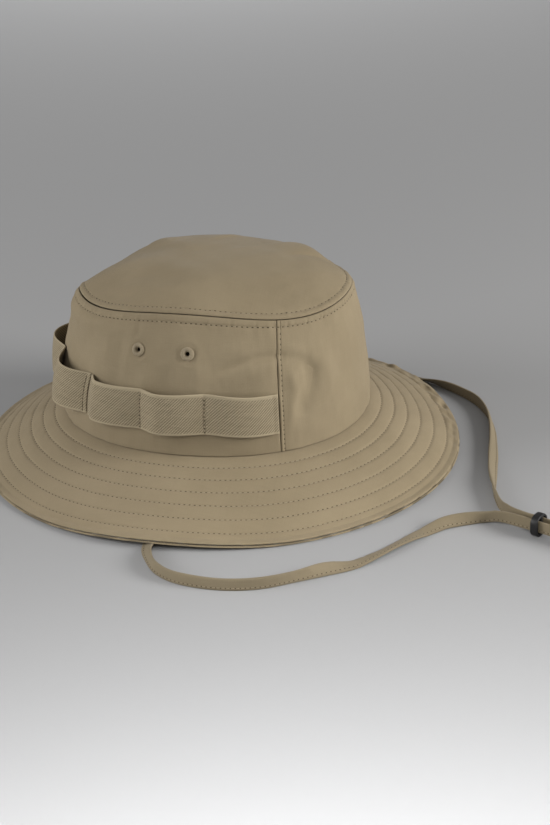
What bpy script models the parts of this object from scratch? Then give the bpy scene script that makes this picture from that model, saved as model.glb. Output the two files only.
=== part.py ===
"""Boonie hat: soft crown of four panels, stitched three-layer brim, looped webbing band and chin strap.

Frame: metres, +Z up, the front of the hat at -Y and its right side at -X.
The origin is on the surface that the brim stands on, below the centre of the brim's edge.
"""
import math

import bmesh
import bpy
from mathutils import Vector

MM = 0.001

# Head opening, where the crown meets the brim: 208 x 170 mm, 595 mm round.
BASE_HALF_X = 85.3 * MM
BASE_HALF_Y = 104.0 * MM
BASE_Z = 34.5 * MM
OVAL_POWER = 2.15            # 2 is an ellipse; a little more squares the oval

# Seam between the crown's wall and its top panel.
TOP_HALF_X = 63.5 * MM
TOP_HALF_Y = 91.5 * MM
TOP_SHIFT_Y = -4.0 * MM      # the top leans a little to the front
TOP_Z = 120.0 * MM
TOP_SADDLE = 2.0 * MM        # the seam is this much higher at the sides and lower at the ends
TOP_CORNERS = 2.0 * MM       # and this much lower at the four corners of the oval
TOP_DIP = (78.0, 38.0, 10.0 * MM)   # where the soft top sinks: direction, half width (degrees), depth
TOP_FADE_POWER = 3.0         # the seam's rise and fall fades down the wall with this power
WALL_BULGE_POWER = 2.6       # 1 is a straight wall; more keeps it upright and rounds it over at the top
DOME_HEIGHT = 19.5 * MM
DOME_POWER = 3.2             # a high power gives a flat top with full shoulders

# Brim.
EDGE_HALF_X = 147.3 * MM
EDGE_HALF_Y = 163.9 * MM
HEM_START = 0.93             # from here to the edge the brim lies level
BRIM_DROP_POWER = 1.12
BRIM_LAYER = 0.8 * MM
BRIM_INSET = 2.1 * MM        # the brim's inner edge lies this far inside the wall's outer face
BRIM_RISES = (               # where the edge lifts over the strap: direction, half width (degrees), height
    (180.0, 36.0, 4.2 * MM),
    (-41.0, 40.0, 6.0 * MM),
)

# Fabric and tape.
FABRIC = 1.0 * MM
TAPE = 0.7 * MM
GAP = 0.3 * MM
LAYER_GAP = 0.5 * MM         # between curved layers whose facets don't line up
SWEATBAND_THICKNESS = 1.2 * MM
SWEATBAND_HEIGHT = 32.0 * MM
VERTICAL_TAPE_WIDTH = 10.0 * MM
BRIM_THICKNESS = 3 * BRIM_LAYER + 2 * GAP

# Panels: seam directions in degrees, from +X towards the back.
FRONT_RIGHT_SEAM = 216.5
FRONT_LEFT_SEAM = 323.5
BACK_SEAM = 90.0
SEAM_HALF_GAP = 0.16         # degrees, about 0.25 mm

# Eyelets: two a side, at these directions on the right side; the left side mirrors them.
EYELET_DIRECTIONS = {"front": 182.5, "rear": 164.5}
EYELET_HEIGHT = 0.765        # part of the wall's height
EYELET_HOLE = 1.5 * MM       # radii
EYELET_BARREL = 1.9 * MM
EYELET_FLANGE = 4.5 * MM
EYELET_BACK_FLANGE = 3.6 * MM
EYELET_BACK_THICKNESS = 0.6 * MM
EYELET_EDGE_HEIGHT = 0.8 * MM    # how far the ring stands off the wall at its rims, and at its crest
EYELET_CREST_HEIGHT = 1.3 * MM
EYELET_SIDES = 14

# Elastic webbing in three lengths: one on each side, the left mirroring the right, and one round the back.
WEBBING_LOW = 0.19           # parts of the wall's height
WEBBING_HIGH = 0.505
WEBBING_SLOPE = 0.03         # the band comes down by this much at its two front ends
WEBBING_SLOPE_START = 24.0   # from this many degrees behind them
WEBBING_THICKNESS = 1.2 * MM
WEBBING_COLUMNS = 6          # facets in each loop
# Directions where each is tacked to the crown, and for each loop between two tacks
# where it stands off most, as a part of its length, and how far.
RIGHT_TACKS = (216.0, 189.0, 167.5, 142.0)
RIGHT_LOOPS = ((0.5, 3.2 * MM), (0.62, 5.0 * MM), (0.74, 5.0 * MM))
BACK_TACKS = (141.5, 107.0, 73.0, 38.5)
BACK_LOOPS = ((0.5, 9.0 * MM), (0.5, 10.0 * MM), (0.5, 9.0 * MM))
LOOP_POWER = 1.4             # 1 is a sine; more flattens the loop's feet against the wall

# Chin strap: a flat stitched strap, standing on its edge on the surface where it is free.
STRAP_WIDTH = 9.0 * MM
STRAP_THICKNESS = 2.4 * MM
STRAP_BEVEL = 0.7 * MM
STRAP_SAMPLES = 78
TILT_WEIGHT = 0.02           # metres for each radian of tilt, where the route is smoothed
ANCHOR_CENTRE_Y = 4.0 * MM
ANCHOR_X = 83.3 * MM
ANCHOR_BOTTOM = 22.5 * MM
ANCHOR_TOP = 29.9 * MM
ANCHOR_HALF_WIDTH = 6.5 * MM
ANCHOR_HALF_THICKNESS = 1.2 * MM
ANCHOR_CHAMFER = 2.0 * MM

# Slider: two slots, one for each strand.
SLIDER_CENTRE = Vector((-86.5 * MM, -232.5 * MM, 7.6 * MM))
SLIDER_ALONG = Vector((-0.37, -0.929, 0.0)).normalized()   # the way the strands run, away from the hat
SLIDER_WIDTH = 13.2 * MM
SLIDER_HEIGHT = 14.4 * MM
SLIDER_LENGTH = 5.0 * MM
SLOT_WIDTH = 3.4 * MM
SLOT_HEIGHT = 10.4 * MM
SLOT_CORNER = 1.2 * MM
SLIDER_CORNER = 4.6 * MM
SLIDER_BEVEL = 0.9 * MM
STRAND_OFFSET = 2.7 * MM     # each strand's distance from the slider's middle plane

KHAKI = (0.30, 0.25, 0.17, 1.0)
KHAKI_WEBBING = (0.33, 0.28, 0.19, 1.0)
KHAKI_LINING = (0.24, 0.20, 0.14, 1.0)
INTERLINING_WHITE = (0.70, 0.69, 0.65, 1.0)
BLACK = (0.012, 0.012, 0.013, 1.0)


# ---------------------------------------------------------------- surfaces

def signed_power(value, power):
    return math.copysign(abs(value) ** power, value)


def oval(direction, half_x, half_y, power=OVAL_POWER):
    """Point of a squared oval, and its outward normal, in the XY plane; direction in degrees."""
    angle = math.radians(direction)
    c, s = math.cos(angle), math.sin(angle)
    point = Vector((half_x * signed_power(c, 2 / power), half_y * signed_power(s, 2 / power), 0.0))
    steepness = 2 - 2 / power
    normal = Vector((signed_power(c, steepness) / half_x, signed_power(s, steepness) / half_y, 0.0))
    return point, normal.normalized()


def bump(direction, centre, half_width):
    """1 at the centre direction, 0 from half_width degrees away, smooth between."""
    away = abs((direction - centre + 180) % 360 - 180)
    return math.cos(math.radians(90 * away / half_width)) ** 2 if away < half_width else 0.0


def top_seam_rise(direction):
    """How far the top seam is above its mean height."""
    around = math.radians(direction)
    centre, half_width, depth = TOP_DIP
    return (TOP_SADDLE * math.cos(2 * around) + TOP_CORNERS * math.cos(4 * around)
            - depth * bump(direction, centre, half_width))


def wall_point(direction, height, offset=0.0):
    """Point on the crown's wall: height runs 0 to 1 from base seam to top seam, offset is outward."""
    base, normal = oval(direction, BASE_HALF_X, BASE_HALF_Y)
    top, _ = oval(direction, TOP_HALF_X, TOP_HALF_Y)
    top.y += TOP_SHIFT_Y
    lean = max(height, 0.0) ** WALL_BULGE_POWER
    point = base.lerp(top, lean) + normal * offset
    point.z = BASE_Z + (TOP_Z - BASE_Z) * height
    point.z += top_seam_rise(direction) * max(height, 0.0) ** TOP_FADE_POWER
    return point


def dome_point(direction, reach, depth=0.0):
    """Point on the top panel: reach runs 1 to 0 from its seam to its middle, depth is downward."""
    rim, _ = oval(direction, TOP_HALF_X, TOP_HALF_Y)
    point = rim * reach
    point.y += TOP_SHIFT_Y
    point.z = TOP_Z + top_seam_rise(direction) * reach ** 2
    point.z += GAP + DOME_HEIGHT * (1 - reach ** DOME_POWER) - depth
    return point


def edge_height(direction):
    """Height of the underside of the brim's edge above the surface."""
    return sum(rise * bump(direction, centre, half_width) for centre, half_width, rise in BRIM_RISES)


def brim_point(direction, reach, depth=0.0):
    """Point on the brim: reach runs 0 to 1 from the crown to the edge, depth is down from its top face."""
    inner, normal = oval(direction, BASE_HALF_X, BASE_HALF_Y)
    inner -= normal * BRIM_INSET
    outer, _ = oval(direction, EDGE_HALF_X, EDGE_HALF_Y, power=2.0)
    point = inner.lerp(outer, reach)
    low = edge_height(direction) + BRIM_THICKNESS
    drop = min(reach / HEM_START, 1.0) ** BRIM_DROP_POWER
    point.z = (BASE_Z - GAP) * (1 - drop) + low * drop - depth
    return point


# ---------------------------------------------------------------- mesh helpers

def material(name, colour, roughness):
    made = bpy.data.materials.get(name) or bpy.data.materials.new(name)
    made.use_nodes = True
    shader = made.node_tree.nodes["Principled BSDF"]
    shader.inputs["Base Color"].default_value = colour
    shader.inputs["Roughness"].default_value = roughness
    return made


def object_from(name, mesh_builder, finish, parent):
    """Turn a bmesh into a named object with all its faces pointing out."""
    bmesh.ops.recalc_face_normals(mesh_builder, faces=mesh_builder.faces)
    mesh = bpy.data.meshes.new(name)
    mesh_builder.to_mesh(mesh)
    mesh_builder.free()
    mesh.materials.append(finish)
    mesh.shade_smooth()
    mesh.set_sharp_from_angle(angle=math.radians(40))
    made = bpy.data.objects.new(name, mesh)
    bpy.context.collection.objects.link(made)
    made.parent = parent
    return made


def steps(start, end, count):
    return [start + (end - start) * i / count for i in range(count + 1)]


def sheet(name, surface, directions, rows, near, far, finish, parent, closed=False, capped=False):
    """A closed layer of cloth between two offsets of a surface.

    surface(direction, row, offset) gives a point. closed joins the last direction to the first,
    and capped closes the last row with one point in the middle.
    """
    builder = bmesh.new()
    faces = []
    for offset in (near, far):
        grid = [[builder.verts.new(surface(d, row, offset)) for d in directions] for row in rows]
        faces.append(grid)
    outer, inner = faces
    columns = len(directions)
    pairs = [(i, (i + 1) % columns) for i in range(columns if closed else columns - 1)]
    for grid in (outer, inner):
        for low, high in zip(grid, grid[1:]):
            for i, j in pairs:
                builder.faces.new((low[i], low[j], high[j], high[i]))
    ends = [0] if capped else [0, -1]
    for end in ends:
        for i, j in pairs:
            builder.faces.new((outer[end][i], inner[end][i], inner[end][j], outer[end][j]))
    if capped:
        for grid in (outer, inner):
            middle = sum((v.co for v in grid[-1]), Vector()) / columns
            centre = builder.verts.new(middle)
            for i, j in pairs:
                builder.faces.new((grid[-1][i], grid[-1][j], centre))
    if not closed:
        for side in (0, -1):
            for k in range(len(rows) - 1):
                builder.faces.new((outer[k][side], inner[k][side], inner[k + 1][side], outer[k + 1][side]))
    return object_from(name, builder, finish, parent)


def ring(count):
    return [360 * i / count for i in range(count)]


def prism(name, corners, thickness_vector, finish, parent):
    """A flat outline pushed along a vector."""
    builder = bmesh.new()
    low = [builder.verts.new(c) for c in corners]
    high = [builder.verts.new(c + thickness_vector) for c in corners]
    builder.faces.new(low)
    builder.faces.new(high)
    for i in range(len(corners)):
        j = (i + 1) % len(corners)
        builder.faces.new((low[i], low[j], high[j], high[i]))
    return object_from(name, builder, finish, parent)


def cut(target, cutter):
    """Subtract a hidden cutter from a part."""
    cutter.hide_render = True
    cutter.display_type = "WIRE"
    boolean = target.modifiers.new("cut_" + cutter.name, "BOOLEAN")
    boolean.operation = "DIFFERENCE"
    boolean.object = cutter
    boolean.solver = "EXACT"


# ---------------------------------------------------------------- crown

def crown(hat, shell, lining):
    """Three wall panels, the domed top panel, and the tapes that bind their seams."""
    rows = (0.004, 0.25, 0.48, 0.66, 0.82, 0.93, 0.985)
    spans = {
        "crown_front_panel": (FRONT_RIGHT_SEAM, FRONT_LEFT_SEAM, 14),
        "crown_right_panel": (BACK_SEAM, FRONT_RIGHT_SEAM, 17),
        "crown_left_panel": (FRONT_LEFT_SEAM - 360, BACK_SEAM, 17),
    }
    panels = {}
    for name, (start, end, columns) in spans.items():
        directions = steps(start + SEAM_HALF_GAP, end - SEAM_HALF_GAP, columns)
        panels[name] = sheet(name, wall_point, directions, rows, 0.0, -FABRIC, shell, hat)

    around = ring(48)
    reaches = (1.0, 0.94, 0.84, 0.68, 0.45, 0.2)
    sheet("crown_top_panel", dome_point, around, reaches, 0.0, FABRIC, shell, hat, closed=True, capped=True)

    tape_near = -FABRIC - LAYER_GAP
    tape_far = tape_near - TAPE
    sheet("top_seam_tape", wall_point, around, (0.93, 0.98), tape_near, tape_far, lining, hat, closed=True)
    seams = {
        "front_right_seam_tape": FRONT_RIGHT_SEAM,
        "front_left_seam_tape": FRONT_LEFT_SEAM,
        "back_seam_tape": BACK_SEAM,
    }
    for name, seam in seams.items():
        half = math.degrees(VERTICAL_TAPE_WIDTH / 2 / wall_point(seam, 0.5).length)
        directions = steps(seam - half, seam + half, 2)
        heights = (0.09, 0.35, 0.6, 0.78, 0.915)
        sheet(name, wall_point, directions, heights, tape_near, tape_far, lining, hat)
    return panels


def eyelet(name, direction, panel, finish, hat):
    """A sewn eyelet: a spool-shaped ring through a round hole in the panel."""
    centre = wall_point(direction, EYELET_HEIGHT)
    across = wall_point(direction + 1, EYELET_HEIGHT) - wall_point(direction - 1, EYELET_HEIGHT)
    up = wall_point(direction, EYELET_HEIGHT + 0.02) - wall_point(direction, EYELET_HEIGHT - 0.02)
    across.normalize()
    outward = across.cross(up).normalized()
    up = outward.cross(across)

    inside = -FABRIC - 2 * GAP
    far_inside = inside - EYELET_BACK_THICKNESS
    crest_radius = EYELET_HOLE + 0.6 * MM
    profile = (
        (EYELET_HOLE, far_inside), (EYELET_BACK_FLANGE, far_inside), (EYELET_BACK_FLANGE, inside),
        (EYELET_BARREL, inside), (EYELET_BARREL, GAP), (EYELET_FLANGE, GAP),
        (EYELET_FLANGE - GAP, EYELET_EDGE_HEIGHT), (crest_radius, EYELET_CREST_HEIGHT),
        (EYELET_HOLE, EYELET_EDGE_HEIGHT),
    )
    angles = [math.radians(a) for a in ring(EYELET_SIDES)]
    radials = [across * math.cos(a) + up * math.sin(a) for a in angles]
    builder = bmesh.new()
    turned = []
    for radial in radials:
        turned.append([builder.verts.new(centre + radial * r + outward * h) for r, h in profile])
    for i in range(EYELET_SIDES):
        here, there = turned[i], turned[(i + 1) % EYELET_SIDES]
        for k in range(len(profile)):
            m = (k + 1) % len(profile)
            builder.faces.new((here[k], here[m], there[m], there[k]))
    object_from(name, builder, finish, hat)

    reach = 4 * FABRIC
    hole = [centre - outward * reach + radial * (EYELET_BARREL + GAP) for radial in radials]
    cutter = prism("cutter_" + name, hole, outward * 2 * reach, finish, hat)
    cut(panel, cutter)


def webbing(name, tacks, loops, finish, hat):
    """One length of elastic band, sewn down at its tacks and standing off the wall between them."""
    stand_off = {tacks[0]: 0.0}
    for start, end, (crest, rise) in zip(tacks, tacks[1:], loops):
        for along in steps(0.0, 1.0, WEBBING_COLUMNS)[1:]:
            phase = along / crest if along < crest else (1 - along) / (1 - crest)
            stand_off[start + (end - start) * along] = rise * math.sin(math.pi / 2 * phase) ** LOOP_POWER

    def surface(direction, height, offset):
        from_front = min(abs(RIGHT_TACKS[0] - direction), abs(RIGHT_TACKS[0] - (180 - direction)))
        lower = WEBBING_SLOPE * max(0.0, 1 - from_front / WEBBING_SLOPE_START)
        return wall_point(direction, height - lower, LAYER_GAP + stand_off[direction] + offset)

    directions = list(stand_off)
    rows = steps(WEBBING_LOW, WEBBING_HIGH, 3)
    sheet(name, surface, directions, rows, 0.0, WEBBING_THICKNESS, finish, hat)


# ---------------------------------------------------------------- brim and lining

def brim(hat, shell, interlining):
    """Two fabric layers with a stiff layer between them; the underside's hem stands on the surface."""
    around = ring(52)
    rows = (0.0, 0.18, 0.4, 0.62, 0.8, HEM_START, 1.0)
    inner_rows = (0.03,) + rows[1:-1] + (0.98,)
    second = BRIM_LAYER + GAP
    third = 2 * second
    sheet("brim_top_layer", brim_point, around, rows, 0.0, BRIM_LAYER, shell, hat, closed=True)
    sheet("brim_interlining", brim_point, around, inner_rows, second, second + BRIM_LAYER,
          interlining, hat, closed=True)
    sheet("brim_under_layer", brim_point, around, rows, third, BRIM_THICKNESS, shell, hat, closed=True)


def head_fit(hat, lining):
    """Binding over the seam of crown and brim, the sweatband over it, and a plain label at the back."""
    wall_height = TOP_Z - BASE_Z
    binding_near = -BRIM_INSET - LAYER_GAP
    binding_far = binding_near - TAPE
    binding_rows = (-3.3 * MM / wall_height, 5.0 * MM / wall_height)
    sheet("brim_seam_binding", wall_point, ring(52), binding_rows, binding_near, binding_far,
          lining, hat, closed=True)
    band_near = binding_far - LAYER_GAP
    band_far = band_near - SWEATBAND_THICKNESS
    band_rows = steps(0.0, SWEATBAND_HEIGHT / wall_height, 2)
    sheet("sweatband", wall_point, ring(52), band_rows, band_near, band_far, lining, hat, closed=True)
    label_near = band_far - LAYER_GAP
    sheet("plain_label", wall_point, steps(81, 99, 4), (0.03, 0.27), label_near, label_near - 0.4 * MM,
          lining, hat)


# ---------------------------------------------------------------- chin strap

# Points of the strap from the right anchor to the left one, in millimetres:
# x, y, height of its lowest side, and tilt in degrees (0 lies flat, 90 stands on its edge).
# The first and last three points are its ends under the brim, where the height is that of its middle.
STRAP_START = ((-83.3, 4.0, 21.9), (-83.8, 4.0, 16.5), (-87.2, 4.0, 9.6))
STRAP_END = ((87.2, 3.6, 9.6), (83.8, 4.0, 16.5), (83.3, 4.0, 21.9))
RIGHT_STRAND = (
    (-94.0, 4.0, 2.9, 0), (-103.0, 4.0, 0.6, 0), (-115.0, 4.0, 0.3, 0), (-131.0, 4.0, 0.3, 0),
    (-148.0, 3.0, 0.3, 0), (-162.0, -2.5, 0.3, 22), (-173.0, -10.0, 0.3, 50), (-181.0, -21.5, 0.3, 75),
    (-185.0, -37.0, 0.3, 88), (-185.0, -60.0, 0.3, 90), (-179.5, -80.5, 0.3, 90), (-168.5, -97.5, 0.3, 90),
    (-155.0, -114.0, 0.3, 90), (-142.5, -128.5, 0.3, 90), (-128.5, -140.5, 0.3, 90),
    (-113.0, -151.0, 0.3, 90), (-97.5, -161.5, 0.3, 90), (-86.0, -173.5, 0.3, 90), (-79.2, -187.0, 0.3, 90),
    (-77.6, -198.0, 0.8, 90), (-79.3, -208.5, 2.0, 90),
)
LEFT_STRAND = (
    (-71.8, -212.0, 2.0, 90), (-61.0, -204.5, 0.8, 90), (-47.0, -198.5, 0.3, 90), (-30.0, -194.0, 0.3, 90),
    (-11.0, -190.5, 0.3, 90), (8.0, -187.5, 0.3, 90), (28.0, -184.0, 0.3, 90), (48.0, -179.5, 0.3, 90),
    (67.0, -172.5, 0.3, 90), (83.0, -162.5, 0.3, 90), (95.5, -149.0, 0.3, 85), (105.0, -133.5, 0.3, 62),
    (112.5, -119.0, 0.3, 28), (117.0, -106.0, 0.3, 4), (118.3, -92.0, 0.3, 0), (117.0, -75.0, 0.3, 0),
    (114.0, -56.0, 0.3, 0), (110.5, -37.0, 0.3, 0), (106.5, -19.0, 0.3, 0), (101.0, -6.0, 0.6, 0),
    (94.0, 1.6, 2.9, 0),
)
# The strap's far loop, past the slider: distance along it and to each side of its middle, in millimetres.
LOOP_HALF = ((36, 2.7), (47, 5.2), (59, 10.6), (72, 16.0), (86, 18.0), (97.5, 12.8))
LOOP_END = 103.0
STRAIGHT_STOPS = (-13, 0, 13, 25)        # where each strand runs straight for the slider's travel
LOOP_LIFT = {36: 3.1, 47: 2.0, 59: 0.8}  # the strap comes back down to the surface


def strap_controls():
    """The strap's route as (point, tilt) pairs from end to end."""
    def laid(x, y, lift, tilt):
        lean = math.radians(tilt)
        half = (STRAP_WIDTH * math.sin(lean) + STRAP_THICKNESS * math.cos(lean)) / 2
        return Vector((x * MM, y * MM, lift * MM + half)), tilt

    across = Vector((-SLIDER_ALONG.y, SLIDER_ALONG.x, 0.0))   # towards the left strand
    slot_lift = (SLIDER_CENTRE.z - STRAP_WIDTH / 2) / MM

    def beside(distance, side, lift):
        place = (SLIDER_CENTRE + SLIDER_ALONG * distance * MM + across * side * MM) / MM
        return laid(place.x, place.y, lift, 90)

    side = STRAND_OFFSET / MM
    route = [(Vector(p) * MM, 0) for p in STRAP_START]
    route += [laid(*p) for p in RIGHT_STRAND]
    route += [beside(stop, -side, slot_lift) for stop in STRAIGHT_STOPS]
    route += [beside(stop, -wide, LOOP_LIFT.get(stop, 0.3)) for stop, wide in LOOP_HALF]
    route += [beside(LOOP_END, 0.0, 0.3)]
    route += [beside(stop, wide, LOOP_LIFT.get(stop, 0.3)) for stop, wide in reversed(LOOP_HALF)]
    route += [beside(stop, side, slot_lift) for stop in reversed(STRAIGHT_STOPS)]
    route += [laid(*p) for p in LEFT_STRAND]
    route += [(Vector(p) * MM, 0) for p in STRAP_END]
    return route


def smooth_curve(controls, per_span=12):
    """Centripetal Catmull-Rom curve through (point, tilt) pairs."""
    points = [Vector((*point, math.radians(tilt) * TILT_WEIGHT)) for point, tilt in controls]
    points = [points[0] * 2 - points[1]] + points + [points[-1] * 2 - points[-2]]
    made = []
    for a, b, c, d in zip(points, points[1:], points[2:], points[3:]):
        t1 = (b - a).length ** 0.5
        t2 = t1 + (c - b).length ** 0.5
        t3 = t2 + (d - c).length ** 0.5
        for i in range(per_span):
            t = t1 + (t2 - t1) * i / per_span
            ab = a * ((t1 - t) / t1) + b * (t / t1)
            bc = b * ((t2 - t) / (t2 - t1)) + c * ((t - t1) / (t2 - t1))
            cd = c * ((t3 - t) / (t3 - t2)) + d * ((t - t2) / (t3 - t2))
            abc = ab * ((t2 - t) / t2) + bc * (t / t2)
            bcd = bc * ((t3 - t) / (t3 - t1)) + cd * ((t - t1) / (t3 - t1))
            made.append(abc * ((t2 - t) / (t2 - t1)) + bcd * ((t - t1) / (t2 - t1)))
    made.append(points[-2])
    return [(Vector(p[:3]), p[3] / TILT_WEIGHT) for p in made]


def even_samples(curve, count):
    """The same curve with evenly spaced points."""
    lengths = [0.0]
    for (a, _), (b, _) in zip(curve, curve[1:]):
        lengths.append(lengths[-1] + (b - a).length)
    made = []
    k = 0
    for i in range(count):
        want = lengths[-1] * i / (count - 1)
        while k < len(curve) - 2 and lengths[k + 1] < want:
            k += 1
        share = (want - lengths[k]) / (lengths[k + 1] - lengths[k])
        (a, tilt_a), (b, tilt_b) = curve[k], curve[k + 1]
        made.append((a.lerp(b, share), tilt_a + (tilt_b - tilt_a) * share))
    return made


def strap(finish, hat):
    """One flat strap, swept along its route with eight-sided section."""
    samples = even_samples(smooth_curve(strap_controls()), STRAP_SAMPLES)
    w, t, bevel = STRAP_WIDTH / 2, STRAP_THICKNESS / 2, STRAP_BEVEL
    section = ((w, t - bevel), (w - bevel, t), (bevel - w, t), (-w, t - bevel),
               (-w, bevel - t), (bevel - w, -t), (w - bevel, -t), (w, bevel - t))
    builder = bmesh.new()
    loops = []
    for i, (point, tilt) in enumerate(samples):
        ahead = samples[min(i + 1, len(samples) - 1)][0] - samples[max(i - 1, 0)][0]
        ahead.normalize()
        heading = Vector((ahead.x, ahead.y, 0.0)).normalized()
        level = Vector((-heading.y, heading.x, 0.0))
        over = ahead.cross(level).normalized()
        wide = level * math.cos(tilt) + over * math.sin(tilt)
        thick = ahead.cross(wide).normalized()
        loops.append([builder.verts.new(point + wide * a + thick * b) for a, b in section])
    for low, high in zip(loops, loops[1:]):
        for i in range(8):
            j = (i + 1) % 8
            builder.faces.new((low[i], low[j], high[j], high[i]))
    builder.faces.new(loops[0])
    builder.faces.new(loops[-1])
    object_from("chin_strap", builder, finish, hat)


def anchors(finish, hat):
    """The tabs under the inner edge of the brim that hold the strap's two ends."""
    wide, chamfer = ANCHOR_HALF_WIDTH, ANCHOR_CHAMFER
    half = ((wide - chamfer, ANCHOR_BOTTOM), (wide, ANCHOR_BOTTOM + chamfer), (wide, ANCHOR_TOP))
    outline = half + tuple((-y, z) for y, z in reversed(half))
    for name, side in (("right_strap_anchor", -1), ("left_strap_anchor", 1)):
        face_x = side * ANCHOR_X - ANCHOR_HALF_THICKNESS
        corners = [Vector((face_x, ANCHOR_CENTRE_Y + y, z)) for y, z in outline]
        prism(name, corners, Vector((2 * ANCHOR_HALF_THICKNESS, 0.0, 0.0)), finish, hat)


def rounded_outline(half_x, half_z, radius, corner_steps):
    """Corners of a rounded rectangle in the XZ plane."""
    made = []
    for quarter, (sx, sz) in enumerate(((1, 1), (-1, 1), (-1, -1), (1, -1))):
        for i in range(corner_steps + 1):
            angle = math.radians(90 * (quarter + i / corner_steps))
            made.append(Vector((sx * (half_x - radius) + radius * math.cos(angle), 0.0,
                                sz * (half_z - radius) + radius * math.sin(angle))))
    return made


def slider(finish, carrier):
    """A rounded block with a slot for each strand, made along Y and then turned to the strands."""
    outline = rounded_outline(SLIDER_WIDTH / 2, SLIDER_HEIGHT / 2, SLIDER_CORNER, 5)
    back = Vector((0.0, -SLIDER_LENGTH / 2, 0.0))
    corners = [p + back for p in outline]
    block = prism("strap_slider", corners, Vector((0.0, SLIDER_LENGTH, 0.0)), finish, carrier)
    for name, side in (("right", -1), ("left", 1)):
        slot = rounded_outline(SLOT_WIDTH / 2, SLOT_HEIGHT / 2, SLOT_CORNER, 2)
        shift = Vector((side * STRAND_OFFSET, -SLIDER_LENGTH, 0.0))
        cutter = prism("cutter_slot_" + name, [p + shift for p in slot],
                       Vector((0.0, 2 * SLIDER_LENGTH, 0.0)), finish, carrier)
        cut(block, cutter)
    softened = block.modifiers.new("rounded_edges", "BEVEL")
    softened.width = SLIDER_BEVEL
    softened.segments = 2
    softened.limit_method = "ANGLE"
    softened.angle_limit = math.radians(50)


# ---------------------------------------------------------------- assembly

def main():
    for old in list(bpy.data.objects):
        bpy.data.objects.remove(old, do_unlink=True)

    shell = material("shell_fabric", KHAKI, 0.85)
    band = material("elastic_webbing", KHAKI_WEBBING, 0.9)
    lining = material("lining_tape", KHAKI_LINING, 0.9)
    thread = material("thread", KHAKI_WEBBING, 0.7)
    interlining = material("interlining", INTERLINING_WHITE, 0.95)
    black = material("black_plastic", BLACK, 0.4)

    hat = bpy.data.objects.new("hat_frame", None)
    carrier = bpy.data.objects.new("slider_frame", None)
    for empty in (hat, carrier):
        bpy.context.collection.objects.link(empty)
    carrier.location = SLIDER_CENTRE
    carrier.rotation_euler.z = math.atan2(-SLIDER_ALONG.x, SLIDER_ALONG.y)

    panels = crown(hat, shell, lining)
    for place, direction in EYELET_DIRECTIONS.items():
        eyelet("right_" + place + "_eyelet", direction, panels["crown_right_panel"], thread, hat)
        eyelet("left_" + place + "_eyelet", 180 - direction, panels["crown_left_panel"], thread, hat)
    left_tacks = [180 - direction for direction in reversed(RIGHT_TACKS)]
    left_loops = [(1 - crest, rise) for crest, rise in reversed(RIGHT_LOOPS)]
    webbing("right_webbing", RIGHT_TACKS, RIGHT_LOOPS, band, hat)
    webbing("back_webbing", BACK_TACKS, BACK_LOOPS, band, hat)
    webbing("left_webbing", left_tacks, left_loops, band, hat)
    brim(hat, shell, interlining)
    head_fit(hat, lining)
    strap(shell, hat)
    anchors(shell, hat)
    slider(black, carrier)


main()
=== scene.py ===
"""Boonie hat: fine cloth, stitching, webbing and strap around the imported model, with light and camera.

Metres, +Z up; the front of the hat is at -Y and its right side at -X.
A direction is in degrees from +X towards the back. A height runs 0 to 1 up the crown's wall, from
its base seam to its top seam. A reach runs 0 to 1 from the crown to the brim's edge, or from the
middle of the top panel to its seam.
"""
import math

import bmesh
import bpy
import numpy as np
from mathutils import Matrix, Vector


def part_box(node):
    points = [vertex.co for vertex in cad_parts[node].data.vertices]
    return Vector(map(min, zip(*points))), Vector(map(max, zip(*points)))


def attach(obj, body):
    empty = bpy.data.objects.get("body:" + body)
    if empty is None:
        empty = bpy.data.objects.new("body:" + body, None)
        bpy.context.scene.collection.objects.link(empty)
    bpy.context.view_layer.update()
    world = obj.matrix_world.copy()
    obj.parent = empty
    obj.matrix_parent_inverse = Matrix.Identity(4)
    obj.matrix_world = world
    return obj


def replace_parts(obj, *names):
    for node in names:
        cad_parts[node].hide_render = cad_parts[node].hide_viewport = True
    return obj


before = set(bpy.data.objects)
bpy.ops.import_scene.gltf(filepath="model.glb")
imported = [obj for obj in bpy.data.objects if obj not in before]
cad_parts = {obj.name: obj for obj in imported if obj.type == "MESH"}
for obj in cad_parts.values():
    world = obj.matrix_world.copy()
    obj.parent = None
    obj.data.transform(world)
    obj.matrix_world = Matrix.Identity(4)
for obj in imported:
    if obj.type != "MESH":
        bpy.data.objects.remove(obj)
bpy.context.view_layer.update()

MM = 0.001


# ---------------------------------------------------------------- sizes, from the frame

def half_size(node):
    low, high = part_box(node)
    return (high - low) / 2


GAP = 0.3 * MM
LAYER_GAP = 0.5 * MM
FABRIC = 1.0 * MM
TAPE = 0.7 * MM
BRIM_LAYER = 0.8 * MM
BRIM_THICKNESS = 3 * BRIM_LAYER + 2 * GAP
BRIM_INSET = 2.1 * MM
BINDING_DEPTH = BRIM_INSET + LAYER_GAP          # from the wall's outer face to the binding's

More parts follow.
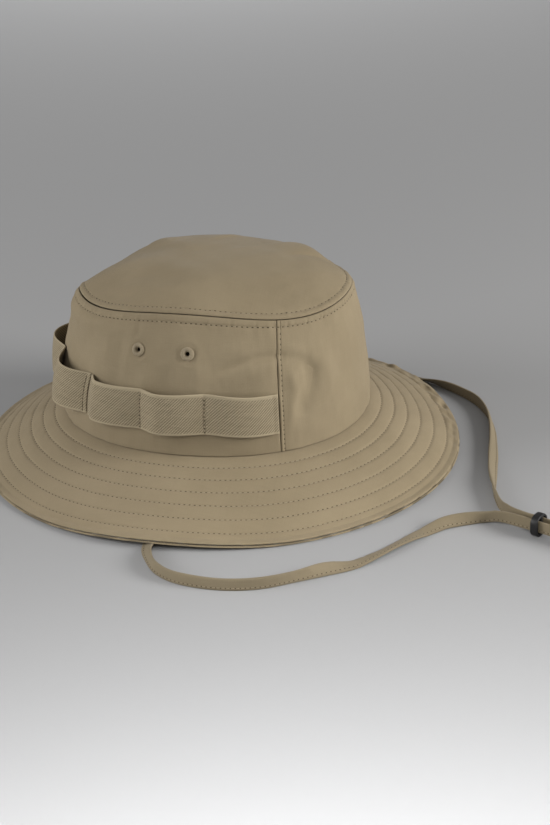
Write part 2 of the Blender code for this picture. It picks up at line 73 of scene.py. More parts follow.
OVAL_POWER = 2.15
BASE_HALF_X = half_size("brim_seam_binding").x + BINDING_DEPTH
BASE_HALF_Y = half_size("brim_seam_binding").y + BINDING_DEPTH
BASE_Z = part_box("brim_top_layer")[1].z + GAP
TOP_HALF_X = half_size("crown_top_panel").x
TOP_HALF_Y = half_size("crown_top_panel").y
TOP_SHIFT_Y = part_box("crown_top_panel")[1].y - TOP_HALF_Y
TOP_Z = 120.0 * MM
WALL_HEIGHT = TOP_Z - BASE_Z
DOME_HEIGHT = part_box("crown_top_panel")[1].z - TOP_Z - GAP
DOME_POWER = 3.2
WALL_BULGE_POWER = 2.6
TOP_SADDLE = 2.0 * MM
TOP_CORNERS = 2.0 * MM
TOP_DIP = (78.0, 38.0, 10.0 * MM)               # direction, half width in degrees, depth
TOP_FADE_POWER = 3.0
EDGE_HALF_X = half_size("brim_top_layer").x
EDGE_HALF_Y = half_size("brim_top_layer").y
HEM_START = 0.93
BRIM_DROP_POWER = 1.12
BRIM_RISES = ((180.0, 36.0, 4.2 * MM), (-41.0, 40.0, 6.0 * MM))

FRONT_RIGHT_SEAM = 216.5
FRONT_LEFT_SEAM = 323.5
BACK_SEAM = 90.0
DEGREE = (BASE_HALF_X + BASE_HALF_Y) / 2 * math.pi / 180    # the length of a degree round the wall

STITCH_PITCH = 3.3 * MM
THREAD_RADIUS = 0.27 * MM
SEAM_ALLOWANCE = 4.2 * MM                       # from the top seam to its stitch rows
SIDE_STITCH = 2.5 * MM                          # from a vertical seam to its stitch row
SIDE_SEAMS = ((FRONT_RIGHT_SEAM, 1), (FRONT_LEFT_SEAM, -1), (BACK_SEAM, 1))    # and the stitched side
FLOOR_CLEARANCE = 0.02 * MM
BRIM_ROWS = (0.155, 0.293, 0.433, 0.576, 0.72, 0.862)


# ---------------------------------------------------------------- smooth surfaces

def signed_power(value, power):
    return np.sign(value) * np.abs(value) ** power


def oval(direction, half_x, half_y, power=OVAL_POWER):
    """Points of a squared oval and its outward normals, in the XY plane."""
    angle = np.radians(direction)
    c, s = np.cos(angle), np.sin(angle)
    flat = np.zeros_like(c)
    point = np.stack((half_x * signed_power(c, 2 / power), half_y * signed_power(s, 2 / power), flat), -1)
    steep = 2 - 2 / power
    normal = np.stack((signed_power(c, steep) / half_x, signed_power(s, steep) / half_y, flat), -1)
    return point, unit(normal)


def unit(vectors):
    return vectors / np.maximum(np.linalg.norm(vectors, axis=-1, keepdims=True), 1e-12)


def bump(direction, centre, half_width):
    """1 at the centre direction, 0 from half_width degrees away, smooth between."""
    away = np.minimum(np.abs((direction - centre + 180) % 360 - 180) / half_width, 1.0)
    return np.cos(math.pi / 2 * away) ** 2


def top_seam_rise(direction):
    around = np.radians(direction)
    centre, half_width, depth = TOP_DIP
    return (TOP_SADDLE * np.cos(2 * around) + TOP_CORNERS * np.cos(4 * around)
            - depth * bump(direction, centre, half_width))


def slump(direction, height):
    """The soft wall sinks in at the back on both sides and rolls out just below the top seam."""
    where = np.maximum(bump(direction, 128.0, 46.0), bump(direction, 52.0, 46.0))
    sunk = -5.4 * np.exp(-((height - 0.60) / 0.2) ** 2)
    rolled = 2.8 * np.exp(-((height - 0.89) / 0.08) ** 2)
    return where * (sunk + rolled) * MM * np.clip(height / 0.25, 0, 1)


def wall(direction, height, offset=0.0):
    """The crown's wall; offset is outward."""
    base, normal = oval(direction, BASE_HALF_X, BASE_HALF_Y)
    top, _ = oval(direction, TOP_HALF_X, TOP_HALF_Y)
    top[..., 1] += TOP_SHIFT_Y
    up = np.maximum(height, 0.0)
    lean = (up ** WALL_BULGE_POWER)[..., None]
    offset = offset + slump(direction, height)
    point = base * (1 - lean) + top * lean + normal * np.asarray(offset)[..., None]
    point[..., 2] = BASE_Z + WALL_HEIGHT * height + top_seam_rise(direction) * up ** TOP_FADE_POWER
    return point


def dome(direction, reach, offset=0.0):
    """The top panel; offset is upward."""
    rim, _ = oval(direction, TOP_HALF_X, TOP_HALF_Y)
    point = rim * np.asarray(reach)[..., None]
    point[..., 1] += TOP_SHIFT_Y
    point[..., 2] = TOP_Z + top_seam_rise(direction) * reach ** 2
    point[..., 2] += GAP + DOME_HEIGHT * (1 - reach ** DOME_POWER) + offset
    return point


def brim(direction, reach, offset=0.0):
    """The brim's top face; offset is upward."""
    inner, normal = oval(direction, BASE_HALF_X, BASE_HALF_Y)
    inner = inner - normal * BRIM_INSET
    outer, _ = oval(direction, EDGE_HALF_X, EDGE_HALF_Y, power=2.0)
    share = np.asarray(reach)[..., None]
    point = inner * (1 - share) + outer * share
    low = BRIM_THICKNESS + sum(rise * bump(direction, centre, half) for centre, half, rise in BRIM_RISES)
    drop = np.minimum(reach / HEM_START, 1.0) ** BRIM_DROP_POWER
    point[..., 2] = (BASE_Z - GAP) * (1 - drop) + low * drop + offset
    return point


def brim_width(direction):
    """How wide the brim is, from the crown to its edge."""
    across = brim(direction, np.ones_like(direction)) - brim(direction, np.zeros_like(direction))
    return np.linalg.norm(across, axis=-1)


def normals(surface, direction, row, facing=1):
    """Normals of a smooth surface, by differences; facing -1 turns them over."""
    turn, rise = 0.2, 0.004
    across = surface(direction + turn, row) - surface(direction - turn, row)
    along = surface(direction, row + rise) - surface(direction, np.maximum(row - rise, 0.001))
    return unit(np.cross(across, along)) * facing


# ---------------------------------------------------------------- relief of the cloth

def waves(points, wavelength, seed, count=12):
    """Smooth irregular waves in space, about -1 to 1: the soft unevenness of cloth."""
    generator = np.random.default_rng(seed)
    total = np.zeros(points.shape[:-1])
    for _ in range(count):
        axis = unit(generator.normal(size=3))
        stretch = generator.uniform(0.7, 1.5)
        total += np.sin(points @ axis * (2 * math.pi * stretch / wavelength) + generator.uniform(0, 6.28))
    return total / math.sqrt(count)


def ripple(where, wavelength, seed):
    """Waves along a line, by the distance along it."""
    return waves(where[..., None] * (1, 0, 0), wavelength, seed)


def hill(distance, width):
    return np.exp(-(distance / width) ** 2)


def fold(across, along, path, width, height):
    """A soft fold along a path of (across, along) points, fading out at both ends."""
    nearest = np.full(np.shape(across), 1e9)
    share = np.zeros_like(nearest)
    spans = len(path) - 1
    for k, ((ax, ay), (bx, by)) in enumerate(zip(path, path[1:])):
        dx, dy = bx - ax, by - ay
        t = np.clip(((across - ax) * dx + (along - ay) * dy) / (dx * dx + dy * dy), 0, 1)
        distance = np.hypot(across - ax - t * dx, along - ay - t * dy)
        closer = distance < nearest
        nearest = np.where(closer, distance, nearest)
        share = np.where(closer, (k + t) / spans, share)
    return height * hill(nearest, width) * np.sin(math.pi * np.clip(share, 0.02, 0.98)) ** 0.6


# Folds of the crown's wall: (direction, height) points, width and height; a valley is negative.
WALL_FOLDS = (
    (((192, 0.64), (200, 0.70), (208, 0.745), (216, 0.755), (221, 0.735)), 2.6, -1.5),
    (((190, 0.72), (200, 0.79), (212, 0.83)), 6.0, 0.9),
    (((194, 0.57), (205, 0.65), (216, 0.675)), 6.0, 1.3),
    (((219, 0.80), (226, 0.77), (231, 0.70)), 4.0, 0.9),
    (((222.5, 0.64), (223.5, 0.48), (221.0, 0.22)), 3.6, 1.3),
    (((220, 0.735), (228, 0.69), (231.5, 0.59), (230.5, 0.47), (227.5, 0.35), (226, 0.24)), 6.0, -2.2),
    (((238, 0.72), (241, 0.52), (238, 0.3)), 7.0, 1.6),
    (((167, 0.68), (169, 0.60), (168, 0.50)), 4.0, 1.0),
    (((174, 0.68), (176, 0.60), (176, 0.50)), 4.5, -0.9),
    (((186, 0.70), (187, 0.6), (186, 0.50)), 4.5, 1.0),
    (((146, 0.9), (149, 0.75), (147, 0.58)), 5.5, 0.9),
    (((154, 0.88), (157, 0.74), (155, 0.60)), 5.5, -0.9),
    (((162, 0.95), (163, 0.88), (161.5, 0.82)), 2.5, -0.8),
    (((173, 0.95), (175, 0.82), (174, 0.7)), 6.0, -0.5),
    (((203, 0.93), (206, 0.84), (204, 0.78)), 5.0, -0.5),
    (((118, 0.92), (126, 0.86), (133, 0.88)), 4.0, -0.9),
    (((284, 0.80), (280, 0.6), (283, 0.3)), 9.0, -0.8),
    (((300, 0.7), (306, 0.5), (302, 0.25)), 8.0, 0.8),
    (((336, 0.85), (345, 0.72), (352, 0.68)), 7.0, -0.8),
    (((12, 0.9), (20, 0.78), (22, 0.6)), 8.0, 0.8),
    (((50, 0.88), (58, 0.74), (56, 0.6)), 7.0, -1.0),
    (((80, 0.9), (84, 0.78), (100, 0.74)), 6.0, -1.0),
    (((104, 0.68), (96, 0.58), (99, 0.42)), 8.0, 0.8),
)

# Folds of the top panel: (x, y) points in millimetres from its middle, width and height.
TOP_FOLDS = (
    (((-30, 52), (-34, 30), (-44, 8)), 7.0, -0.9),
    (((-16, 44), (-22, 22), (-34, -6)), 8.0, 0.7),
    (((-40, 62), (-47, 50), (-50, 36)), 4.0, -1.1),
    (((-44, -36), (-30, -44), (-10, -46)), 9.0, 0.6),
    (((-20, -70), (-28, -62), (-42, -58)), 4.0, -0.7),
    (((10, -60), (24, -40), (30, -14)), 9.0, -0.9),
    (((24, -62), (36, -52), (44, -40)), 15.0, 4.4),
    (((22, -24), (36, -10), (42, 4)), 15.0, -4.4),
    (((22, 34), (30, 44), (34, 54)), 12.0, 2.0),
    (((2, 10), (14, 24), (20, 44)), 8.0, 0.8),
)


def seam_relief(distance, width, puff):
    """Cloth between a seam and the stitch row beside it: puffed between, pinched at the row."""
    inside = np.clip(distance / width, 0, 1)
    puffed = puff * np.sin(math.pi * inside) ** 0.7
    beyond = np.clip(distance / width - 1, 0, None)
    eased = 0.35 * puff * beyond * np.exp(-1.4 * beyond)
    return puffed + eased - 0.24 * MM * hill(distance - width, 0.5 * MM)


def gathers(along, from_seam, seed):
    """Small ridges across the strip between a seam and its stitch row, one for most stitches."""
    generator = np.random.default_rng(seed)
    ridges = np.zeros_like(along)
    for pitch in (3.3, 4.1, 5.7):
        ridges = ridges + np.sin(along / (pitch * MM) * 2 * math.pi + generator.uniform(0, 6.28))
    inside = np.sin(math.pi * np.clip(from_seam / (1.35 * SEAM_ALLOWANCE), 0, 1))
    return 0.11 * MM * ridges * inside


def wall_relief(direction, height):
    """How far the wall's outer face stands off its smooth surface."""
    points = wall(direction, height)
    across = direction * DEGREE / MM
    along = height * WALL_HEIGHT / MM
    relief = 0.26 * waves(points, 46 * MM, 3) + 0.13 * waves(points, 17 * MM, 4)
    relief = relief + 0.07 * waves(points * (1, 1, 0.3), 8 * MM, 5)
    for path, width, amount in WALL_FOLDS:
        placed = [(d * DEGREE / MM, h * WALL_HEIGHT / MM) for d, h in path]
        relief = relief + fold(across, along, placed, width, amount)
    relief = relief * MM

    from_top = (1 - height) * WALL_HEIGHT
    calm = 1 - 0.75 * np.exp(-from_top / (5 * MM)) - 0.6 * np.exp(-height * WALL_HEIGHT / (5 * MM))
    relief = relief * calm
    relief = relief + seam_relief(from_top, SEAM_ALLOWANCE, 0.5 * MM)
    pucker = waves(points * (1, 1, 0.25), 8.5 * MM, 7)
    relief = relief + 0.22 * MM * pucker * np.exp(-np.abs(from_top - SEAM_ALLOWANCE) / (3.2 * MM))
    relief = relief + gathers(direction * DEGREE, from_top, 9)
    low = height * WALL_HEIGHT
    relief = relief + 0.14 * MM * waves(points * (1, 1, 0.3), 11 * MM, 8) * np.exp(-low / (5 * MM))

    for eyelet in EYELETS:
        beside = ((direction - eyelet + 180) % 360 - 180) * DEGREE
        away = np.hypot(beside, (height - EYELET_HEIGHT) * WALL_HEIGHT)
        relief = relief - 0.4 * MM * hill(away - EYELET_RADIUS - 0.3 * MM, 0.5 * MM)
        relief = relief + 0.3 * MM * hill(away - EYELET_RADIUS - 2.2 * MM, 1.6 * MM)

    for seam, towards in SIDE_SEAMS:
        distance = ((direction - seam + 180) % 360 - 180) * towards * DEGREE
        stitched = np.where(distance >= 0, seam_relief(distance, SIDE_STITCH, 0.38 * MM), 0.0)
        tucked = np.where(distance < 0, -0.25 * MM * np.exp(distance / (1.3 * MM)), 0.0)
        nearby = np.abs(distance) < 12 * MM
        relief = relief + np.where(nearby, stitched + tucked, 0.0)
    return relief


def dome_relief(direction, reach):
    points = dome(direction, reach)
    across = points[..., 0] / MM
    along = (points[..., 1] - TOP_SHIFT_Y) / MM
    relief = 0.34 * waves(points, 60 * MM, 11) + 0.12 * waves(points, 20 * MM, 12)
    for path, width, amount in TOP_FOLDS:
        relief = relief + fold(across, along, path, width, amount)
    relief = relief * MM
    from_seam = rim_distance(direction, reach)
    relief = relief * (1 - np.exp(-from_seam / (7 * MM)))
    relief = relief + seam_relief(from_seam, SEAM_ALLOWANCE, 0.55 * MM)
    pucker = waves(points, 8 * MM, 13)
    relief = relief + 0.2 * MM * pucker * np.exp(-np.abs(from_seam - SEAM_ALLOWANCE) / (3 * MM))
    return relief + gathers(direction * DEGREE, from_seam, 14)


def rim_distance(direction, reach):
    """Distance from the top seam, along the top panel."""
    rim, _ = oval(direction, TOP_HALF_X, TOP_HALF_Y)
    steep = DOME_HEIGHT * DOME_POWER
    return (1 - reach) * np.hypot(np.linalg.norm(rim, axis=-1), steep)


def quilt_relief(direction, reach, seed):
    """The brim's bands between its stitch rows: each puffs up a little and is pinched at the rows."""
    points = brim(direction, reach)
    edges = (0.0,) + BRIM_ROWS + (1.0,)
    width = brim_width(direction)
    relief = np.zeros_like(reach)
    pucker = waves(points, 9 * MM, seed)
    ripple = waves(points, 30 * MM, seed + 1)
    for low, high in zip(edges, edges[1:]):
        inside = (reach >= low) & (reach <= high)
        share = np.clip((reach - low) / (high - low), 0, 1)
        puff = (0.5 + 0.12 * ripple + 0.3 * bump(direction, 285.0, 70.0)) * MM
        if high == 1.0:
            puff = puff + 0.25 * MM
        relief = np.where(inside, puff * (4 * share * (1 - share)) ** 0.55, relief)
    crowded = 0.35 + 0.65 * bump(direction, 318.0, 55.0) + 0.35 * bump(direction, 100.0, 50.0)
    for row in BRIM_ROWS:
        distance = (reach - row) * width
        relief = relief - 0.22 * MM * hill(distance, 0.6 * MM)
        relief = relief + 0.22 * MM * crowded * pucker * np.exp(-np.abs(distance) / (3 * MM))
    hem = np.exp(-((reach - 0.93) * width / (4.5 * MM)) ** 2)
    crumpled = 0.28 * crowded + 0.95 * bump(direction, 312.0, 46.0)
    return relief + crumpled * MM * waves(points, 11 * MM, seed + 2) * hem


# ---------------------------------------------------------------- mesh making

def add_mesh(name, vertices, faces, finish, uv=None):
    """A smooth-shaded object; uv has one pair for each face corner, in metres."""
    mesh = bpy.data.meshes.new(name)
    mesh.from_pydata(vertices, [], faces)
    if uv is not None:
        layer = mesh.uv_layers.new(name="cloth")
        layer.data.foreach_set("uv", np.asarray(uv, np.float32).ravel())
    mesh.shade_smooth()
    mesh.materials.append(finish)
    made = bpy.data.objects.new(name, mesh)
    bpy.context.collection.objects.link(made)
    return made


def grid_faces(rows, columns, closed, start=0):
    """Corner numbers (faces, 4) of a grid, and the grid places of those corners."""
    r, c = np.meshgrid(np.arange(rows - 1), np.arange(columns if closed else columns - 1), indexing="ij")
    corner_r = np.stack((r, r, r + 1, r + 1), -1).reshape(-1, 4)
    corner_c = np.stack((c, c + 1, c + 1, c), -1).reshape(-1, 4)
    return start + corner_r * columns + corner_c % columns, corner_r, corner_c


def shell(name, middle, facing, half, outside, finish, uv, closed, inner_step=6, capped=False):
    """A closed layer of cloth: a fine visible side and a coarser hidden one, with rounded borders.

    middle, facing and half are the middle surface, its normals towards the visible side, and half
    the thickness, on a (rows, columns) grid; outside is the visible side's relief.
    """
    rows, columns = half.shape
    visible = middle + facing * (half + outside)[..., None]
    visible[..., 2] = np.maximum(visible[..., 2], FLOOR_CLEARANCE)
    near_ends = set(range(min(5, rows))) | set(range(max(rows - 5, 0), rows))
    picked = sorted(set(range(0, rows, inner_step)) | near_ends)
    hidden = (middle - facing * (half - 0.5 * outside)[..., None])[picked]
    hidden_start = rows * columns
    vertices = visible.reshape(-1, 3).tolist() + hidden.reshape(-1, 3).tolist()

    faces, corner_r, corner_c = grid_faces(rows, columns, closed)
    under, under_r, under_c = grid_faces(len(picked), columns, closed, hidden_start)
    all_faces = faces.tolist() + under[:, ::-1].tolist()
    grid_uv = np.concatenate((uv[corner_r, corner_c], uv[picked][under_r, under_c][:, ::-1]))
    border_uv = []

    def close(outline, flip):
        """A border face through (hidden, row, column) corners; flip turns it over."""
        outline = outline[::-1] if flip else outline
        all_faces.append([below * hidden_start + row * columns + column % columns
                          for below, row, column in outline])
        border_uv.extend(uv[picked[row] if below else row, column] for below, row, column in outline)

    ends = ((0, 0, False), (rows - 1, len(picked) - 1, True))
    for top, low, flip in ends[:1] if capped else ends:
        for c in range(columns if closed else columns - 1):
            close([(0, top, c), (1, low, c), (1, low, c + 1), (0, top, c + 1)], flip)
    for side, flip in () if closed else ((0, False), (columns - 1, True)):
        for k, (low, high) in enumerate(zip(picked, picked[1:])):
            close([(0, r, side) for r in range(low, high + 1)] + [(1, k + 1, side), (1, k, side)], flip)
    if capped:
        middle_uv = uv[-1, :columns].mean(0)
        last_rows = ((visible[-1], (rows - 1) * columns, False),
                     (hidden[-1], hidden_start + (len(picked) - 1) * columns, True))
        for row_points, start, flip in last_rows:
            centre = len(vertices)
            vertices.append(row_points.mean(0).tolist())
            for c in range(columns):
                fan = [start + c, start + (c + 1) % columns, centre]
                places = [uv[-1, c], uv[-1, c + 1], middle_uv]
                all_faces.append(fan[::-1] if flip else fan)
                border_uv += places[::-1] if flip else places
    corners = np.concatenate((grid_uv.reshape(-1, 2), np.reshape(border_uv, (-1, 2))))
    return add_mesh(name, vertices, all_faces, finish, corners)


def dress(piece, slot_name, *nodes, body="hat"):
    """Fix a piece to its body, in the place of the named CAD nodes; slot_name is not used."""
    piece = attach(piece, body)
    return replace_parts(piece, *nodes) if nodes else piece


def edged(values, distance, radius):
    """Half a thickness that closes to nothing in a quarter round over the last stretch to a border."""
    inside = np.clip(distance / radius, 0, 1)
    return values * np.sqrt(np.maximum(1 - (1 - inside) ** 2, 0.0))


def spaced(stops, step, fine=(), fine_step=None, reach=0.0):
    """Places from the first stop to the last, with closer ones near the fine places."""
    start, end = stops
    places = list(np.arange(start, end, step)) + [end]
    for place in fine:
        places += list(np.arange(max(start, place - reach), min(end, place + reach), fine_step))
        places.append(min(max(place, start), end))
    places = np.unique(np.round(places, 7))
    keep = [places[0]]
    smallest = (fine_step or step) * 0.45
    for place in places[1:]:
        if place - keep[-1] > smallest:
            keep.append(place)
    keep[-1] = end
    return np.array(keep)


def run_lengths(points):
    """How far along a line each of its points is."""
    return np.concatenate(([0], np.cumsum(np.linalg.norm(np.diff(points, axis=0), axis=1))))


def along_line(where, lengths, points):
    """Points at given distances along a line."""
    return np.stack([np.interp(where, lengths, column) for column in points.T], -1)


def layer_grid(surface, around, rows, thickness, turned=1):
    """Directions, rows, normals and middle surface of a layer whose visible face is the surface."""
    direction, row = np.meshgrid(around, rows)
    facing = normals(surface, direction, row, turned)
    return direction, row, facing, surface(direction, row) - facing * (thickness / 2)


def arc_uv(points, closed=False):
    """Distances along and across a grid, in metres, as (rows, columns, 2)."""
    if closed:
        points = np.concatenate((points, points[:, :1]), 1)
    along = run_lengths(points[points.shape[0] // 2])
    across = run_lengths(points[:, points.shape[1] // 2])
    return np.stack(np.broadcast_arrays(along[None, :], across[:, None]), -1)


def plan_uv(points):
    """The cloth's own threads seen from above, for panels cut flat."""
    points = np.concatenate((points, points[:, :1]), 1)
    return points[..., :2].copy()


# ---------------------------------------------------------------- stitches

def ring_points(place, out, lift, radius, sides, wide, deep):
    """Rings of points round place + out * lift, one radius a ring, in the plane of wide and deep."""
    angles = (np.arange(sides) * 2 * math.pi / sides)[:, None]
    around = wide[:, :, None] * np.cos(angles) + deep[:, :, None] * np.sin(angles)
    return (place + out * lift[:, None])[:, :, None] + radius[:, None, None] * around


def tube_faces(count, steps, sides, start=0, closed_ends=True):
    """Faces of many small tubes whose points are in (tube, ring, side) order."""
    r, s = np.meshgrid(np.arange(steps - 1), np.arange(sides), indexing="ij")
    quads = np.stack((r * sides + s, r * sides + (s + 1) % sides,
                      (r + 1) * sides + (s + 1) % sides, (r + 1) * sides + s), -1).reshape(-1, 4)
    offsets = start + np.arange(count)[:, None, None] * steps * sides
    faces = (quads[None] + offsets).reshape(-1, 4).tolist()
    if closed_ends:
        caps = np.stack((np.arange(sides)[::-1], (steps - 1) * sides + np.arange(sides)))
        faces.extend((caps[None] + offsets).reshape(-1, sides).tolist())
    return faces


class Threads:
    """Stitches, and dark dots of painted shade in their needle holes, gathered into two objects."""

    def __init__(self):
        self.stitches = ([], [])
        self.hole_shades = ([], [])

    @staticmethod
    def add(store, rings):
        """rings: (count, rings, sides, 3) points of many small tubes."""
        start = sum(len(block) for block in store[0])
        store[0].append(rings.reshape(-1, 3))
        store[1].extend(tube_faces(*rings.shape[:3], start))

    def row(self, points, facing, pitch=STITCH_PITCH, radius=THREAD_RADIUS, hole=0.52 * MM,
            looped=False, sink=-0.02 * MM):
        """A row of stitches along a line of points that lies on the cloth, with a dark dot of painted shade
        at each needle hole; hole is the dot's size.
        """
        if looped:
            points = np.concatenate((points, points[:1]))
            facing = np.concatenate((facing, facing[:1]))
        lengths = run_lengths(points)
        count = max(int(lengths[-1] / pitch), 1)
        pitch = lengths[-1] / count
        nearby = 0.2 * MM

        def at(where):
            return along_line(where, lengths, points), unit(along_line(where, lengths, facing))

        share = np.array((-0.42, -0.36, -0.2, 0.0, 0.2, 0.36, 0.42))
        thickness = np.array((0.35, 0.85, 1.0, 1.0, 1.0, 0.85, 0.35)) * radius
        lift = np.array((-1.3, -0.5, 0.1, 0.25, 0.1, -0.5, -1.3)) * radius - sink
        where = ((np.arange(count) + 0.5)[:, None] + share[None]) * pitch
        place, out = at(where)
        ahead = unit(at(where + nearby)[0] - at(where - nearby)[0])
        self.add(self.stitches, ring_points(place, out, lift, thickness, 6, out, np.cross(ahead, out)))

        # Dark dots at the needle holes: painted shade, standing in for the shadow in each hole.
        where = (np.arange(count) * pitch)[:, None]
        place, out = at(where)
        ahead = unit(at(where + nearby)[0] - place)
        opening = np.array((0.15, 0.8, 1.0, 0.8, 0.15)) * hole
        lift = np.array((-0.5, -0.4, 0.0, 0.22, 0.3)) * hole - sink
        self.add(self.hole_shades, ring_points(place, out, lift, opening, 8, 1.5 * ahead, -np.cross(ahead, out)))

    def place(self, name, body="hat"):
        made = []
        for suffix, store, finish in (("stitches", self.stitches, thread_finish),
                                      ("needle_hole_painted_shade", self.hole_shades, hole_shade_finish)):
            piece = add_mesh(name + "_" + suffix, np.concatenate(store[0]).tolist(), store[1], finish)
            made.append(dress(piece, "thread", body=body))
        return made


# ---------------------------------------------------------------- materials

class Value:
    """A node's output that adds, subtracts and multiplies like a number."""

    def __init__(self, nodes, socket):
        self.nodes = nodes
        self.socket = socket

    def __add__(self, other):
        return self.nodes.math("ADD", self, other)

    def __mul__(self, other):
        return self.nodes.math("MULTIPLY", self, other)

    def __sub__(self, other):
        return self.nodes.math("SUBTRACT", self, other)

    def __rsub__(self, other):
        return self.nodes.math("SUBTRACT", other, self)


class Nodes:
    """Short-hand for building a material's nodes."""

    def __init__(self, name):
        self.material = bpy.data.materials.new(name)
        self.material.use_nodes = True
        self.tree = self.material.node_tree
        self.shader = self.tree.nodes["Principled BSDF"]

    def feed(self, socket, value):
        """Link a value to a socket, or set a constant on it."""
        if isinstance(value, Value):
            self.tree.links.new(value.socket, socket)
        else:
            socket.default_value = value

    def add(self, kind, settings=None, output=0, **inputs):
        """A node's output; an input goes by its name, or by its number as in i0."""
        made = self.tree.nodes.new(kind)
        for key, value in (settings or {}).items():
            setattr(made, key, value)
        for key, value in inputs.items():
            self.feed(made.inputs[int(key[1:]) if key[1:].isdigit() else key], value)
        return Value(self, made.outputs[output])

    def math(self, operation, a, b=0.0):
        return self.add("ShaderNodeMath", {"operation": operation}, i0=a, i1=b)

    def sine(self, value):
        return self.math("SINE", value)

    def mix(self, share, a, b):
        return self.add("ShaderNodeMix", {"data_type": "RGBA"}, 2, i0=share, i6=a, i7=b)

    def cloth_place(self):
        """The cloth's own coordinates, in metres."""
        return self.add("ShaderNodeUVMap", {"uv_map": "cloth"})

    def object_place(self):
        return self.add("ShaderNodeTexCoord", output="Object")

    def axes(self, where):
        """The first two coordinates of a place."""
        return [self.add("ShaderNodeSeparateXYZ", output=axis, Vector=where) for axis in (0, 1)]

    def noise(self, where, scale, detail=3.0):
        return self.add("ShaderNodeTexNoise", Vector=where, Scale=scale, Detail=detail, Roughness=0.55)

    def streaks(self, where, scale):
        """Noise drawn out by another scale along each axis."""
        stretched = self.add("ShaderNodeVectorMath", {"operation": "MULTIPLY"}, i0=where, i1=scale)
        return self.noise(stretched, 1.0)

    def ramp(self, value, low, high):
        """0 below low, 1 above high."""
        return self.add("ShaderNodeMapRange", i0=value, i1=low, i2=high, i3=0.0, i4=1.0)

    def finish(self, colour, roughness, height=None, depth=0.0, sheen=0.0, specular=0.3):
        inputs = self.shader.inputs
        self.feed(inputs["Base Color"], colour)
        self.feed(inputs["Roughness"], roughness)
        inputs["Specular IOR Level"].default_value = specular
        inputs["Sheen Weight"].default_value = sheen
        inputs["Sheen Roughness"].default_value = 0.45
        if height is not None:
            raised = self.add("ShaderNodeBump", Strength=1.0, Distance=depth, Height=height)
            self.feed(inputs["Normal"], raised)
        return self.material


def shaded(colour, share):
    """A colour made lighter or darker."""
    return (*(c * share for c in colour[:3]), 1.0)


def plain_weave(nodes, pitch):
    """Over-and-under of a plain weave, as a height from 0 to 1."""
    uv = nodes.cloth_place()
    shift = nodes.noise(uv, 420.0, 2.0) * 2.4
    across, along = (nodes.sine(axis * (math.pi / pitch) + shift) for axis in nodes.axes(uv))
    return across * along * 0.5 + 0.5


def shell_cloth(name, light, dark, warm):
    """Smooth tightly woven cotton blend: fine plain weave with painted shade between its threads, slubs along
    both threads, mild mottling.
    """
    nodes = Nodes(name)
    uv, place = nodes.cloth_place(), nodes.object_place()
    weave = plain_weave(nodes, 0.42 * MM)
    slubs = nodes.streaks(uv, (90.0, 1500.0, 1.0)) + nodes.streaks(uv, (1500.0, 90.0, 1.0))
    mottle = nodes.noise(place, 26.0, 4.0)
    cloud = nodes.noise(place, 9.0, 2.0)
    colour = nodes.mix(nodes.ramp(mottle, 0.32, 0.70), dark, light)
    colour = nodes.mix(nodes.ramp(cloud, 0.4, 0.65) * 0.5, colour, warm)
    colour = nodes.mix(nodes.ramp(slubs, 0.62, 1.38) * 0.22, colour, shaded(light, 1.25))
    # Painted shade: the cloth darkens in the hollows between the threads, where the weave is low.
    colour = nodes.mix((1.0 - weave) * 0.22, colour, shaded(dark, 0.55))
    height = weave + slubs * 0.8
    return nodes.finish(colour, mottle * 0.12 + 0.74, height, 0.10 * MM, sheen=0.08, specular=0.2)


def webbing_cloth(name, light, dark):
    """Elastic webbing: steep diagonal ribs, plain woven edges, painted shade in the hollows between the ribs.
    Across the band, v is 0 to its width.
    """
    nodes = Nodes(name)
    uv = nodes.cloth_place()
    along, across = nodes.axes(uv)
    rib_turns = 2 * math.pi / (1.95 * MM)
    knot_turns = 2 * math.pi / (0.86 * MM)
    diagonal = nodes.sine((along - across) * rib_turns + nodes.noise(uv, 160.0, 2.0) * 0.9)
    knots = nodes.sine(across * knot_turns) * nodes.sine(along * knot_turns)
    from_middle = nodes.math("ABSOLUTE", across - WEBBING_WIDTH / 2)
    edge = nodes.ramp(from_middle, WEBBING_WIDTH / 2 - 2.0 * MM, WEBBING_WIDTH / 2 - 1.2 * MM)
    ribs = (diagonal * 0.40 + knots * 0.25) * (1.0 - edge * 0.8)
    height = ribs + 0.5 + edge * 0.35
    worn = nodes.ramp(nodes.streaks(uv, (60.0, 400.0, 1.0)), 0.35, 0.7)
    # Painted shade: the colour follows the rib height, darkest in the hollows between the ribs.
    colour = nodes.mix(nodes.ramp(height, 0.12, 0.78), dark, light)
    colour = nodes.mix(worn * 0.25, colour, shaded(light, 1.15))
    return nodes.finish(colour, 0.86, height, 0.22 * MM, sheen=0.1, specular=0.2)


def tape_cloth(name, light, dark, pitch=0.6 * MM):
    """Ribbed lining tape or sweatband cloth, with painted shade between its threads."""
    nodes = Nodes(name)
    weave = plain_weave(nodes, pitch)
    mottle = nodes.noise(nodes.object_place(), 60.0, 4.0)
    colour = nodes.mix(nodes.ramp(mottle, 0.3, 0.7), dark, light)
    # Painted shade: the cloth darkens in the hollows between the threads, where the weave is low.
    colour = nodes.mix((1.0 - weave) * 0.35, colour, shaded(dark, 0.5))
    return nodes.finish(colour, 0.85, weave, 0.08 * MM, sheen=0.1, specular=0.2)


def fibre(name, light, dark, scale=900.0, roughness=0.6, depth=0.05 * MM):
    """Thread, felt and other short-fibred matter, with no direction of its own."""
    nodes = Nodes(name)
    place = nodes.object_place()
    hairs = nodes.noise(place, scale)
    broad = nodes.noise(place, scale / 12)
    colour = nodes.mix(nodes.ramp(hairs, 0.3, 0.7), dark, light)
    colour = nodes.mix(nodes.ramp(broad, 0.3, 0.7) * 0.3, colour, dark)
    return nodes.finish(colour, roughness, hairs, depth, specular=0.25)


